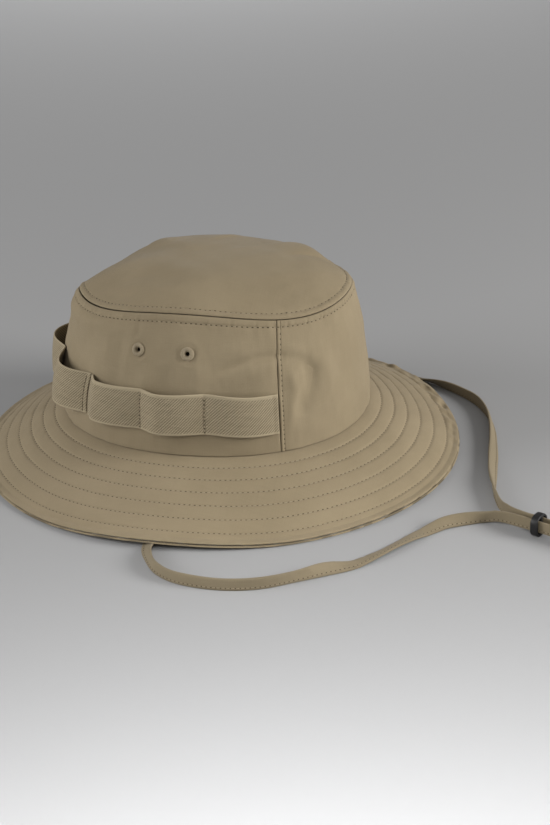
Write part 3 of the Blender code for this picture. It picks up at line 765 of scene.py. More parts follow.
def moulded_plastic(name, colour, worn):
    """Satin black plastic: fine spark texture, edges rubbed slightly lighter."""
    nodes = Nodes(name)
    place = nodes.object_place()
    grain = nodes.noise(place, 1800.0, 2.0)
    smear = nodes.noise(place, 240.0)
    edges = nodes.add("ShaderNodeNewGeometry", output="Pointiness")
    shade = nodes.mix(nodes.ramp(edges, 0.52, 0.60), colour, worn)
    return nodes.finish(shade, smear * 0.22 + 0.34, grain, 0.015 * MM, specular=0.36)


WEBBING_LOW = 0.19
WEBBING_HIGH = 0.505
WEBBING_WIDTH = (WEBBING_HIGH - WEBBING_LOW) * WALL_HEIGHT

shell_finish = shell_cloth("shell_cloth", (0.290, 0.234, 0.148, 1), (0.240, 0.192, 0.119, 1),
                           (0.284, 0.228, 0.148, 1))
strap_finish = shell_cloth("strap_cloth", (0.240, 0.196, 0.126, 1), (0.202, 0.165, 0.105, 1),
                           (0.232, 0.190, 0.124, 1))
webbing_finish = webbing_cloth("webbing_cloth", (0.345, 0.288, 0.192, 1), (0.150, 0.120, 0.074, 1))
tape_finish = tape_cloth("binding_tape_cloth", (0.300, 0.246, 0.165, 1), (0.255, 0.208, 0.138, 1))
sweatband_finish = tape_cloth("sweatband_cloth", (0.290, 0.240, 0.165, 1), (0.250, 0.206, 0.140, 1), 0.9 * MM)
label_finish = tape_cloth("label_cloth", (0.360, 0.310, 0.225, 1), (0.320, 0.275, 0.198, 1), 0.5 * MM)
thread_finish = fibre("sewing_thread", (0.330, 0.272, 0.182, 1), (0.250, 0.204, 0.134, 1), 2600.0)
# Painted shade: the dark finish of the dots in the needle holes.
hole_shade_finish = fibre("needle_hole_shade", (0.085, 0.066, 0.040, 1), (0.050, 0.038, 0.022, 1), 2600.0, 0.9)
# Painted shade: the near-black finish of the well inside each eyelet.
eyelet_shade_finish = fibre("eyelet_hole_shade", (0.012, 0.010, 0.008, 1), (0.006, 0.005, 0.004, 1), 2600.0, 0.95)
ring_finish = fibre("eyelet_thread", (0.360, 0.300, 0.205, 1), (0.250, 0.205, 0.135, 1), 2200.0, 0.5)
felt_finish = fibre("interlining_felt", (0.62, 0.61, 0.56, 1), (0.54, 0.53, 0.48, 1), 500.0, 0.9, 0.1 * MM)
plastic_finish = moulded_plastic("satin_black_plastic", (0.009, 0.009, 0.0095, 1), (0.026, 0.026, 0.027, 1))


# ---------------------------------------------------------------- crown

def crown_panels():
    """The three wall panels, rolled at their seams."""
    spans = (
        ("right_wall_cloth", "crown_right_panel", BACK_SEAM, FRONT_RIGHT_SEAM),
        ("front_wall_cloth", "crown_front_panel", FRONT_RIGHT_SEAM, FRONT_LEFT_SEAM),
        ("left_wall_cloth", "crown_left_panel", FRONT_LEFT_SEAM - 360, BACK_SEAM),
    )
    slit = 0.08                                  # degrees left open on each side of a seam
    top_row = 1 - SEAM_ALLOWANCE / WALL_HEIGHT
    heights = spaced((0.0, 0.997), 0.013, (0.0, top_row, 1.0), 0.0045, 0.03)
    for name, node, start, end in spans:
        ends = (start + slit, end - slit)
        around = spaced(ends, 0.72, ends, 0.12, 2.2)
        direction, height, facing, middle = layer_grid(wall, around, heights, FABRIC)
        half = np.full(direction.shape, FABRIC / 2)
        for distance in ((direction - ends[0]) * DEGREE, (ends[1] - direction) * DEGREE,
                         (1.0 - height) * WALL_HEIGHT, height * WALL_HEIGHT + 0.25 * MM):
            half = edged(half, distance, 0.9 * MM)
        relief = wall_relief(direction, height) * np.minimum(half / (FABRIC / 2) + 0.25, 1)
        piece = shell(name, middle, facing, half, relief, shell_finish, arc_uv(middle), closed=False)
        pierce(piece, [d for d in EYELETS if start < d < end])
        dress(piece, "shell_fabric", node)


def top_panel():
    around = np.arange(0, 360, 0.9)
    reaches = spaced((0.02, 0.999), 0.018, (1 - SEAM_ALLOWANCE / (95 * MM), 1.0), 0.006, 0.05)[::-1]
    direction, reach, facing, middle = layer_grid(dome, around, reaches, FABRIC, -1)
    half = edged(np.full(direction.shape, FABRIC / 2), rim_distance(direction, reach), 0.9 * MM)
    relief = dome_relief(direction, reach) * np.minimum(half / (FABRIC / 2) + 0.25, 1)
    piece = shell("top_cloth", middle, facing, half, relief, shell_finish, plan_uv(middle),
                  closed=True, capped=True)
    dress(piece, "shell_fabric", "crown_top_panel")


def on_wall(direction, height, lift=0.0):
    """Points on the wall's outer face, with its relief, and their normals."""
    direction, height = np.broadcast_arrays(np.asarray(direction, float), np.asarray(height, float))
    facing = normals(wall, direction, height)
    return wall(direction, height) + facing * (wall_relief(direction, height) + lift)[..., None], facing


def crown_stitches():
    threads = Threads()
    around = np.arange(0, 360, 0.5)
    threads.row(*on_wall(around, 1 - SEAM_ALLOWANCE / WALL_HEIGHT), looped=True)
    rim, _ = oval(around, TOP_HALF_X, TOP_HALF_Y)
    reach = 1 - SEAM_ALLOWANCE / np.hypot(np.linalg.norm(rim, axis=-1), DOME_HEIGHT * DOME_POWER)
    facing = normals(dome, around, reach, -1)
    threads.row(dome(around, reach) + facing * dome_relief(around, reach)[..., None], facing, looped=True)
    heights = np.linspace(0.02, 0.94, 160)
    for seam, towards in SIDE_SEAMS:
        threads.row(*on_wall(seam + towards * SIDE_STITCH / DEGREE, heights))
    threads.place("crown")


# ---------------------------------------------------------------- eyelets

EYELETS = (182.5, 164.5, -2.5, 15.5)
EYELET_NODES = ("right_front_eyelet", "right_rear_eyelet", "left_front_eyelet", "left_rear_eyelet")
EYELET_HEIGHT = 0.765
EYELET_HOLE = 1.6 * MM
EYELET_RADIUS = 4.4 * MM
EYELET_STITCHES = 44
# Each stitch of an eyelet from inside to outside: place across the ring's width, and lift.
EYELET_PROFILE = ((-1.6, -1.9), (-1.35, -0.2), (-0.9, 0.75), (0.0, 1.0), (0.9, 0.72), (1.25, 0.1),
                  (1.3, -0.7))
# The well of painted shade inside an eyelet, a near-black cup: radius, and lift in millimetres.
EYELET_WELL = ((EYELET_HOLE * 1.25, 0.15), (EYELET_HOLE * 1.1, -1.0), (EYELET_HOLE * 0.9, -2.2),
               (0.05 * MM, -2.4))


def pierce(piece, directions):
    """Open the eyelet holes in a wall panel by taking out the faces inside them."""
    if not directions:
        return
    radius = EYELET_HOLE + 0.6 * MM
    worked = bmesh.new()
    worked.from_mesh(piece.data)
    for direction in directions:
        centre = Vector(wall(np.array(float(direction)), np.array(EYELET_HEIGHT)))
        near = [face for face in worked.faces if (face.calc_center_median() - centre).length < radius]
        bmesh.ops.delete(worked, geom=near, context="FACES")
    worked.to_mesh(piece.data)
    worked.free()


def eyelet_ring(centre, outward, across, up, seed):
    """Points of close radial stitches round a hole, each a little uneven."""
    generator = np.random.default_rng(seed)
    draws = [(generator.uniform(-0.12, 0.12), generator.uniform(0.97, 1.05)) for _ in range(EYELET_STITCHES)]
    swing, reach = np.array(draws).T
    pitch = 2 * math.pi / EYELET_STITCHES
    angle = (np.arange(EYELET_STITCHES) + swing) * pitch
    radial = np.cos(angle)[:, None] * across + np.sin(angle)[:, None] * up
    side = np.cross(outward, radial)
    place, lift = np.array(EYELET_PROFILE).T
    reach = np.where(place > 0, reach[:, None], 1.0) * (EYELET_RADIUS - EYELET_HOLE) / 2
    radius = (EYELET_HOLE + EYELET_RADIUS) / 2 + reach * place / 1.3
    line = centre + radial[:, None] * radius[..., None] + outward * (0.75 * MM * lift + 0.2 * MM)[:, None]
    turn = np.arange(6) * math.pi / 3
    wide = (0.62 * pitch * radius)[..., None] * np.cos(turn)
    deep = 0.22 * MM * np.sin(turn)
    return line[:, :, None] + side[:, None, None] * wide[..., None] + outward * deep[:, None]


def eyelets():
    """Sewn eyelets: a ring of close radial stitches round a small hole, with a near-black cup of painted
    shade in the hole.
    """
    for node, direction in zip(EYELET_NODES, EYELETS):
        centre, outward = on_wall(float(direction), EYELET_HEIGHT)
        across = unit(np.cross((0, 0, 1), outward))
        up = np.cross(outward, across)
        rings = eyelet_ring(centre, outward, across, up, int(direction) + 40)
        faces = tube_faces(*rings.shape[:3])
        piece = add_mesh(node + "_ring", rings.reshape(-1, 3).tolist(), faces, ring_finish)
        dress(piece, "thread", node)

        # The near-black well is painted shade inside the eyelet's hole.
        sides = 32
        turn = np.arange(sides) * 2 * math.pi / sides
        circle = np.cos(turn)[:, None] * across + np.sin(turn)[:, None] * up
        well = [centre + circle * radius + outward * lift * MM for radius, lift in EYELET_WELL]
        faces = tube_faces(1, len(well), sides, closed_ends=False)
        piece = add_mesh(node + "_hole", np.concatenate(well).tolist(), faces, eyelet_shade_finish)
        dress(piece, "thread")


# ---------------------------------------------------------------- brim

# The outer layers: name, level of the visible face, up or down, seed, and how far the quilting shows.
BRIM_LAYERS = (("brim_top", 0.0, 1, 21, 1.0), ("brim_under", -BRIM_THICKNESS, -1, 31, 0.6))


def brim_layers():
    """The two outer layers of the brim, quilted by the stitch rows and turned in at the edge."""
    around = np.arange(0, 360, 0.6)
    reaches = spaced((0.0, 1.0), 0.015, BRIM_ROWS + (1.0,), 0.007, 0.028)
    width = brim_width(around)
    for name, level, upward, seed, share in BRIM_LAYERS:
        direction, reach = np.meshgrid(around, reaches[::-upward])
        facing = normals(brim, direction, reach, -upward)
        middle = brim(direction, reach, level) - facing * (BRIM_LAYER / 2)
        half = edged(np.full(direction.shape, BRIM_LAYER / 2), (1 - reach) * width, 0.6 * MM)
        half = edged(half, reach * width + 0.2 * MM, 0.6 * MM)
        relief = share * quilt_relief(direction, reach, seed) * np.minimum(half / (BRIM_LAYER / 2) + 0.2, 1)
        turned_in = np.clip((reach - 0.9805) / 0.006, 0, 1) * half / (BRIM_LAYER / 2) * 0.31 * MM
        middle = middle - facing * turned_in[..., None]
        piece = shell(name + "_cloth", middle, facing, half + turned_in, relief, shell_finish,
                      plan_uv(middle), closed=True, inner_step=8)
        dress(piece, "shell_fabric", name + "_layer")


def brim_stitches():
    around = np.arange(0, 360, 0.4)
    for name, level, upward, seed, share in BRIM_LAYERS:
        threads = Threads()
        for row in BRIM_ROWS:
            reach = np.full_like(around, row)
            facing = normals(brim, around, reach, -upward)
            relief = quilt_relief(around, reach, seed) * share
            threads.row(brim(around, reach, level) + facing * relief[..., None], facing, looped=True)
        threads.place(name)


# ---------------------------------------------------------------- webbing

RIGHT_TACKS = (216.0, 189.0, 167.5, 142.0)
RIGHT_LOOPS = ((0.5, 3.2), (0.62, 5.0), (0.74, 5.0))
BACK_TACKS = (141.5, 107.0, 73.0, 38.5)
BACK_LOOPS = ((0.5, 9.0), (0.5, 10.0), (0.5, 9.0))
WEBBING_SLOPE = 0.03
WEBBING_SLOPE_START = 24.0
WEBBING_THICKNESS = 1.2 * MM
LOOP_POWER = 1.4


def stand_off(direction, tacks, loops):
    """How far a length of webbing stands off the wall."""
    total = np.zeros_like(direction)
    for start, end, (crest, rise) in zip(tacks, tacks[1:], loops):
        along = np.clip((direction - start) / (end - start), 0, 1)
        phase = np.where(along < crest, along / crest, (1 - along) / (1 - crest))
        total = np.maximum(total, rise * MM * np.sin(math.pi / 2 * phase) ** LOOP_POWER)
    return total


def webbing():
    """Three lengths of elastic, each rounded at its borders and pinched at its tack rows."""
    left_tacks = tuple(180 - direction for direction in reversed(RIGHT_TACKS))
    left_loops = tuple((1 - crest, rise) for crest, rise in reversed(RIGHT_LOOPS))
    threads = Threads()
    for node, tacks, loops in (("right_webbing", RIGHT_TACKS, RIGHT_LOOPS),
                               ("back_webbing", BACK_TACKS, BACK_LOOPS),
                               ("left_webbing", left_tacks, left_loops)):
        def surface(direction, share, offset=0.0):
            right_end, left_end = RIGHT_TACKS[0], 180 - RIGHT_TACKS[0]
            from_front = np.minimum(np.abs(right_end - direction), np.abs(left_end - direction))
            height = WEBBING_LOW + (WEBBING_HIGH - WEBBING_LOW) * share
            height = height - WEBBING_SLOPE * np.maximum(0.0, 1 - from_front / WEBBING_SLOPE_START)
            lift = LAYER_GAP + stand_off(direction, tacks, loops) + WEBBING_THICKNESS + offset
            return wall(direction, height, lift)

        low, high = min(tacks), max(tacks)
        rows = [float(np.clip(tack, low + 2.0, high - 2.0)) for tack in tacks]
        around = spaced((low, high), 0.6, (low, high) + tacks, 0.2, 1.6)
        shares = spaced((0.0, 1.0), 0.05, (0.0, 1.0), 0.012, 0.06)
        direction, share, facing, middle = layer_grid(surface, around, shares, WEBBING_THICKNESS)
        from_edge = np.minimum(share, 1 - share) * WEBBING_WIDTH
        half = edged(np.full(direction.shape, WEBBING_THICKNESS / 2), from_edge, 0.8 * MM)
        half = edged(half, np.minimum(direction - low, high - direction) * DEGREE, 0.7 * MM)
        relief = 0.10 * MM * waves(middle, 22 * MM, 41) - 0.06 * MM * (from_edge > 1.6 * MM)
        for row in rows:
            relief = relief - 0.28 * MM * hill((direction - row) * DEGREE, 1.0 * MM)
        relief = relief * np.minimum(half / (WEBBING_THICKNESS / 2), 1)
        piece = shell(node + "_cloth", middle, facing, half, relief, webbing_finish, arc_uv(middle),
                      closed=False, inner_step=3)
        dress(piece, "elastic_webbing", node)

        line = np.linspace(0.06, 0.94, 40)
        for row in rows if node == "back_webbing" else rows[1:-1]:
            places = np.full_like(line, row)
            facing = normals(surface, places, line)
            threads.row(surface(places, line) - facing * 0.22 * MM, facing, 2.6 * MM, 0.28 * MM, 0.42 * MM)
    threads.place("webbing")


# ---------------------------------------------------------------- inside: tapes, sweatband, label, anchors

SEAM_TAPE_HALF = 5 * MM
SWEATBAND_THICKNESS = 1.2 * MM
LABEL_THICKNESS = 0.4 * MM


def band_inside(name, node, finish, slot_name, around, rows, near, thickness, closed, pillow=0.0):
    """A strip lying along the inside of the wall."""
    direction, height = np.meshgrid(around, rows[::-1])
    outward = normals(wall, direction, np.maximum(height, 0.01))
    outward[..., 2] = 0
    outward = unit(outward)
    middle = wall(direction, height, near - thickness / 2)
    low, high = rows[0], rows[-1]
    from_edge = np.minimum(height - low, high - height) * WALL_HEIGHT
    half = edged(np.full(direction.shape, thickness / 2), from_edge, thickness)
    if not closed:
        half = edged(half, np.minimum(direction - around[0], around[-1] - direction) * DEGREE, thickness)
    span = np.clip(from_edge / (3 * MM), 0, 1)
    relief = (pillow * span + 0.05 * MM * waves(middle, 9 * MM, 51)) * np.minimum(half / (thickness / 2), 1)
    relief = relief - 0.12 * MM * hill(from_edge - 1.3 * MM, 0.4 * MM)
    piece = shell(name, middle, -outward, half, relief, finish, arc_uv(middle, closed), closed, 3)
    dress(piece, slot_name, node)


def inside_line(direction, height, near, thickness):
    """Points on the inner face of a strip, and their normals towards the head."""
    direction, height = np.broadcast_arrays(np.asarray(direction, float), np.asarray(height, float))
    _, outward = oval(direction, BASE_HALF_X, BASE_HALF_Y)
    return wall(direction, height, near - thickness), -outward


def inside_pieces():
    """Binding tapes, the binding of the brim seam, the sweatband and the blank label."""
    full = np.arange(0, 360, 0.75)
    near = -FABRIC - LAYER_GAP
    threads = Threads()
    band_inside("top_seam_tape_cloth", "top_seam_tape", tape_finish, "binding_tape",
                full, spaced((0.93, 0.98), 0.006), near, TAPE, True)
    for node, seam in (("front_right_seam_tape", FRONT_RIGHT_SEAM),
                       ("front_left_seam_tape", FRONT_LEFT_SEAM), ("back_seam_tape", BACK_SEAM)):
        from_middle = float(np.linalg.norm(wall(np.array(seam), np.array(0.5))))
        half_width = math.degrees(SEAM_TAPE_HALF / from_middle)
        around = spaced((seam - half_width, seam + half_width), 0.5)
        band_inside(node + "_cloth", node, tape_finish, "binding_tape", around,
                    spaced((0.09, 0.915), 0.02), near, TAPE, False)
        for side in (-1, 1):
            heights = np.linspace(0.42, 0.9, 60)
            threads.row(*inside_line(seam + side * half_width * 0.68, heights, near, TAPE), hole=0.3 * MM)

    near = -BINDING_DEPTH
    rows = spaced((-3.3 * MM / WALL_HEIGHT, 5.0 * MM / WALL_HEIGHT), 0.008)
    band_inside("brim_binding_cloth", "brim_seam_binding", tape_finish, "binding_tape",
                full, rows, near, TAPE, True, 0.1 * MM)

    near = near - TAPE - LAYER_GAP
    top = 32 * MM / WALL_HEIGHT
    rows = spaced((0.0, top), 0.012, (0.0, top), 0.004, 0.03)
    band_inside("sweatband_cloth", "sweatband", sweatband_finish, "sweatband_fabric",
                full, rows, near, SWEATBAND_THICKNESS, True, 0.25 * MM)
    for height in (0.035, top - 0.03):
        line = inside_line(full, height, near, SWEATBAND_THICKNESS - 0.05 * MM)
        threads.row(*line, hole=0.35 * MM, looped=True)

    near = near - SWEATBAND_THICKNESS - LAYER_GAP
    band_inside("plain_label_cloth", "plain_label", label_finish, "label_fabric", spaced((81.0, 99.0), 0.5),
                spaced((0.03, 0.27), 0.01), near, LABEL_THICKNESS, False)
    for height in (0.05, 0.25):
        line = inside_line(np.linspace(82, 98, 60), height, near, LABEL_THICKNESS)
        threads.row(*line, 2.2 * MM, hole=0.25 * MM)
    threads.place("lining")


def anchors():
    """Folded tabs that hold the strap's ends, with a sewn cross."""
    threads = Threads()
    across, up = np.meshgrid(np.linspace(-1, 1, 15), np.linspace(-1, 1, 13))
    to_border = 1 - np.maximum(np.abs(across), np.abs(up))
    narrow = 1 - 0.10 * np.clip(-up, 0, 1) ** 3
    cross = np.array(((-0.75, -0.6), (0.75, -0.6), (0.75, 0.6), (-0.75, 0.6), (-0.75, -0.6), (0.75, 0.6)))
    for node in ("right_strap_anchor", "left_strap_anchor"):
        low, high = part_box(node)
        centre, half = (low + high) / 2, (high - low) / 2
        inward = -1 if centre.x > 0 else 1
        middle = np.stack((np.full(across.shape, centre.x), centre.y - inward * across * half.y * narrow,
                           centre.z + up * half.z), -1)
        facing = np.zeros_like(middle)
        facing[..., 0] = inward
        half_thick = edged(np.full(across.shape, half.x), to_border * half.z, 0.9 * MM)
        piece = shell(node + "_cloth", middle, facing, half_thick, np.zeros(across.shape), strap_finish,
                      arc_uv(middle), closed=False, inner_step=2)
        dress(piece, "shell_fabric", node)
        share = np.linspace(0, 1, 8)[:, None]
        for start, end in zip(cross, cross[1:]):
            yz = np.array((centre.y, centre.z)) + np.array((half.y, half.z)) * (start + (end - start) * share)
            line = np.column_stack((np.full(8, centre.x + inward * (half.x + 0.02 * MM)), yz))
            threads.row(line, np.tile((float(inward), 0, 0), (8, 1)), 2.0 * MM, 0.2 * MM, 0.25 * MM)
    threads.place("anchor")


# ---------------------------------------------------------------- chin strap

STRAP_WIDTH = 9.0 * MM
STRAP_THICKNESS = 2.4 * MM
STRAP_STEPS = 1400
STRAP_SIDES = 20
SLIDER_CENTRE = Vector((-86.5 * MM, -232.5 * MM, 7.6 * MM))
SLIDER_ALONG = Vector((-0.37, -0.929, 0.0)).normalized()
STRAND_OFFSET = 2.7
TILT_WEIGHT = 0.02

# The strap's route in millimetres: x, y, height of its lowest side, and tilt in degrees, 0 flat and
# 90 on edge. The first and last points are its sewn ends under the brim: x, y and the middle's height.
STRAP_START = ((-83.3, 4.0, 21.9), (-83.8, 4.0, 16.5), (-87.2, 4.0, 9.6))
STRAP_END = ((87.2, 3.6, 9.6), (83.8, 4.0, 16.5), (83.3, 4.0, 21.9))
RIGHT_STRAND = (
    (-94.0, 4.0, 2.9, 0), (-103.0, 4.0, 0.6, 0), (-115.0, 4.0, 0.3, 0), (-131.0, 4.0, 0.3, 0),
    (-148.0, 3.0, 0.3, 25), (-162.0, -2.5, 0.3, 60), (-173.0, -10.0, 0.3, 76), (-181.0, -21.5, 0.3, 84),
    (-185.0, -37.0, 0.3, 88), (-185.0, -60.0, 0.3, 90), (-179.5, -80.5, 0.3, 90), (-168.5, -97.5, 0.3, 82),
    (-155.5, -114.0, 0.3, 44), (-143.5, -128.5, 0.3, 4), (-129.8, -140.5, 0.3, -16),
    (-114.5, -151.0, 0.3, -18), (-99.0, -161.5, 0.3, 0), (-87.6, -173.5, 0.3, 40), (-81.0, -187.0, 0.3, 74),
    (-77.6, -198.0, 0.8, 90), (-79.3, -208.5, 2.0, 90),
)
LEFT_STRAND = (
    (-71.8, -212.0, 2.0, 90), (-61.0, -204.5, 0.8, 90), (-47.0, -198.5, 0.3, 84), (-30.0, -194.0, 0.3, 66),
    (-11.0, -190.5, 0.3, 50), (8.0, -187.5, 0.3, 46), (28.0, -184.0, 0.3, 54), (48.0, -179.5, 0.3, 70),
    (67.0, -172.5, 0.3, 84), (83.0, -162.5, 0.3, 90), (95.5, -149.0, 0.3, 85), (105.0, -133.5, 0.3, 62),
    (112.5, -119.0, 0.3, 28), (117.0, -106.0, 0.3, 4), (118.3, -92.0, 0.3, 0), (117.0, -75.0, 0.3, 0),
    (114.0, -56.0, 0.3, 0), (110.5, -37.0, 0.3, 0), (106.5, -19.0, 0.3, 0), (101.0, -6.0, 0.6, 0),
    (94.0, 1.6, 2.9, 0),
)
# Beyond the slider, in millimetres from it: how far each strand lies from the middle line, and its height.
LOOP_HALF = ((36, 2.7), (47, 5.2), (59, 10.6), (72, 16.0), (86, 18.0), (97.5, 12.8))
LOOP_END = 103.0
STRAIGHT_STOPS = (-13, 0, 13, 25)
LOOP_LIFT = {36: 3.1, 47: 2.0, 59: 0.8}


def strap_controls():
    """The strap's route as (point, tilt) pairs from end to end."""
    def laid(x, y, lift, tilt):
        lean = math.radians(tilt)
        half = (STRAP_WIDTH * abs(math.sin(lean)) + STRAP_THICKNESS * math.cos(lean)) / 2
        return Vector((x * MM, y * MM, lift * MM + half)), tilt

    across = Vector((-SLIDER_ALONG.y, SLIDER_ALONG.x, 0.0))
    slot_lift = (SLIDER_CENTRE.z - STRAP_WIDTH / 2) / MM

    def beside(distance, side, lift):
        place = (SLIDER_CENTRE + SLIDER_ALONG * distance * MM + across * side * MM) / MM
        return laid(place.x, place.y, lift, 90)

    route = [(Vector(p) * MM, 0) for p in STRAP_START]
    route += [laid(*p) for p in RIGHT_STRAND]
    route += [beside(stop, -STRAND_OFFSET, slot_lift) for stop in STRAIGHT_STOPS]
    route += [beside(stop, -wide, LOOP_LIFT.get(stop, 0.3)) for stop, wide in LOOP_HALF]
    route += [beside(LOOP_END, 0.0, 0.3)]
    route += [beside(stop, wide, LOOP_LIFT.get(stop, 0.3)) for stop, wide in reversed(LOOP_HALF)]
    route += [beside(stop, STRAND_OFFSET, slot_lift) for stop in reversed(STRAIGHT_STOPS)]
    route += [laid(*p) for p in LEFT_STRAND]
    route += [(Vector(p) * MM, 0) for p in STRAP_END]
    return route


def smooth_curve(controls, per_span=16):
    """Centripetal Catmull-Rom curve through (point, tilt) pairs."""
    points = [Vector((*point, math.radians(tilt) * TILT_WEIGHT)) for point, tilt in controls]
    points = [points[0] * 2 - points[1]] + points + [points[-1] * 2 - points[-2]]
    made = []
    for a, b, c, d in zip(points, points[1:], points[2:], points[3:]):
        t1 = (b - a).length ** 0.5
        t2 = t1 + (c - b).length ** 0.5
        t3 = t2 + (d - c).length ** 0.5
        for i in range(per_span):
            t = t1 + (t2 - t1) * i / per_span
            ab = a * ((t1 - t) / t1) + b * (t / t1)
            bc = b * ((t2 - t) / (t2 - t1)) + c * ((t - t1) / (t2 - t1))
            cd = c * ((t3 - t) / (t3 - t2)) + d * ((t - t2) / (t3 - t2))
            abc = ab * ((t2 - t) / t2) + bc * (t / t2)
            bcd = bc * ((t3 - t) / (t3 - t1)) + cd * ((t - t1) / (t3 - t1))
            made.append(abc * ((t2 - t) / (t2 - t1)) + bcd * ((t - t1) / (t2 - t1)))
    made.append(points[-2])
    return np.array([tuple(p) for p in made])


def strap_frame():
    """The strap's distances, middle line, width and thickness directions, and where it lies free."""
    curve = smooth_curve(strap_controls())
    lengths = run_lengths(curve[:, :3])
    where = np.linspace(0, lengths[-1], STRAP_STEPS)
    path = along_line(where, lengths, curve[:, :3])
    tilt = np.interp(where, lengths, curve[:, 3]) / TILT_WEIGHT
    near_slider = hill(np.linalg.norm(path - np.array(SLIDER_CENTRE), axis=1), 22 * MM)
    near_end = hill(where, 15 * MM) + hill(where - lengths[-1], 15 * MM)
    free = np.clip(1 - near_slider - near_end, 0, 1)
    on_edge = np.clip(tilt / (math.pi / 2), 0, 1)
    tilt = tilt + math.radians(7) * ripple(where, 70 * MM, 61) * free * on_edge

    ahead = unit(np.gradient(path, axis=0))
    heading = unit(ahead * (1, 1, 0))
    level = np.stack((-heading[:, 1], heading[:, 0], np.zeros(STRAP_STEPS)), -1)
    over = unit(np.cross(ahead, level))
    wide = level * np.cos(tilt)[:, None] + over * np.sin(tilt)[:, None]
    return where, path, wide, unit(np.cross(ahead, wide)), free


def strap_rings(where, path, wide, thick, free, half_width):
    """The tape's outline at each step: pinched at its stitch row, with slanting creases."""
    angle = np.arange(STRAP_SIDES) * 2 * math.pi / STRAP_SIDES
    across = signed_power(np.cos(angle), 0.55)
    through = signed_power(np.sin(angle), 0.7)
    puff = 1 - 0.34 * hill(across + 0.55, 0.16) - 0.12 * hill(across - 0.2, 0.5)
    crease = ripple(where[:, None] + across[None] * 3.2 * MM, 9 * MM, 63)
    busy = np.clip(0.35 + ripple(where, 90 * MM, 65), 0, 1)[:, None]
    pinch = np.clip(crease - 0.5, 0, 1) * busy * hill(across - 0.25, 0.75)[None]
    uneven = 0.86 + 0.05 * ripple(where, 25 * MM, 64)[:, None]
    half_thick = STRAP_THICKNESS / 2 * (puff[None] * uneven - 0.62 * pinch * free[:, None])
    return (path[:, None] + wide[:, None] * (half_width[:, None] * across[None])[..., None]
            + thick[:, None] * (half_thick * through[None])[..., None])


def strap_mesh(where, rings):
    """A closed tube through the rings, with the cloth's threads along it."""
    faces, corner_r, corner_c = grid_faces(STRAP_STEPS, STRAP_SIDES, True)
    girth = np.linspace(0, 2 * (STRAP_WIDTH + STRAP_THICKNESS), STRAP_SIDES + 1)
    uv = np.stack(np.broadcast_arrays(where[:, None], girth[None]), -1)
    last = (STRAP_STEPS - 1) * STRAP_SIDES
    ends = [list(range(STRAP_SIDES)), list(range(last, last + STRAP_SIDES))[::-1]]
    end_uv = np.concatenate((uv[0, :STRAP_SIDES], uv[-1, :STRAP_SIDES][::-1]))
    corners = np.concatenate((uv[corner_r, corner_c][:, ::-1].reshape(-1, 2), end_uv))
    return add_mesh("chin_strap_tape", rings.reshape(-1, 3).tolist(), faces[:, ::-1].tolist() + ends,
                    strap_finish, corners)


def strap(block):
    """A folded tape, stitched along its open edge, settled on the surface that the hat stands on."""
    where, path, wide, thick, free = strap_frame()
    half_width = STRAP_WIDTH / 2 * (0.93 - 0.03 * ripple(where, 40 * MM, 62))
    rings = strap_rings(where, path, wide, thick, free, half_width)
    lowest = rings[..., 2].min(1)
    settled = np.clip((2.0 * MM - lowest) / (1.0 * MM), 0, 1) * (lowest - 0.05 * MM)
    rings[..., 2] -= settled[:, None]
    path[:, 2] -= settled
    piece = dress(strap_mesh(where, rings), "shell_fabric", "chin_strap")

    threads = Threads()
    stitched = slice(12, STRAP_STEPS - 12)
    for face in (-1, 1):
        seam = path - wide * (0.55 * half_width)[:, None] + thick * (face * 0.62 * STRAP_THICKNESS / 2)
        threads.row(seam[stitched], (thick * face)[stitched], 3.0 * MM, 0.2 * MM, 0.36 * MM, sink=0.0)
    sewn = threads.place("chin_strap")
    sewn + [block]


# ---------------------------------------------------------------- slider

SLIDER_SIZE = (13.2 * MM, 14.4 * MM)            # across and up
SLIDER_LENGTH = 5.0 * MM
SLOT_SIZE = (3.4 * MM, 10.4 * MM)


def rounded_outline(size, radius, corner_steps):
    """A rectangle with round corners, as points round its middle."""
    half_x, half_z = size[0] / 2, size[1] / 2
    made = []
    for quarter, (sx, sz) in enumerate(((1, 1), (-1, 1), (-1, -1), (1, -1))):
        for i in range(corner_steps + 1):
            angle = math.radians(90 * (quarter + i / corner_steps))
            made.append((sx * (half_x - radius) + radius * math.cos(angle),
                         sz * (half_z - radius) + radius * math.sin(angle)))
    return made


def prism(name, corners, half_length, shift=0.0):
    """An outline in the XZ plane drawn out along Y, as a loose object to cut with."""
    worked = bmesh.new()
    rings = [[worked.verts.new((x + shift, y, z)) for x, z in corners] for y in (-half_length, half_length)]
    for ring in rings:
        worked.faces.new(ring)
    for i in range(len(corners)):
        j = (i + 1) % len(corners)
        worked.faces.new((rings[0][i], rings[0][j], rings[1][j], rings[1][i]))
    bmesh.ops.recalc_face_normals(worked, faces=worked.faces)
    mesh = bpy.data.meshes.new(name)
    worked.to_mesh(mesh)
    worked.free()
    made = bpy.data.objects.new(name, mesh)
    bpy.context.collection.objects.link(made)
    return made


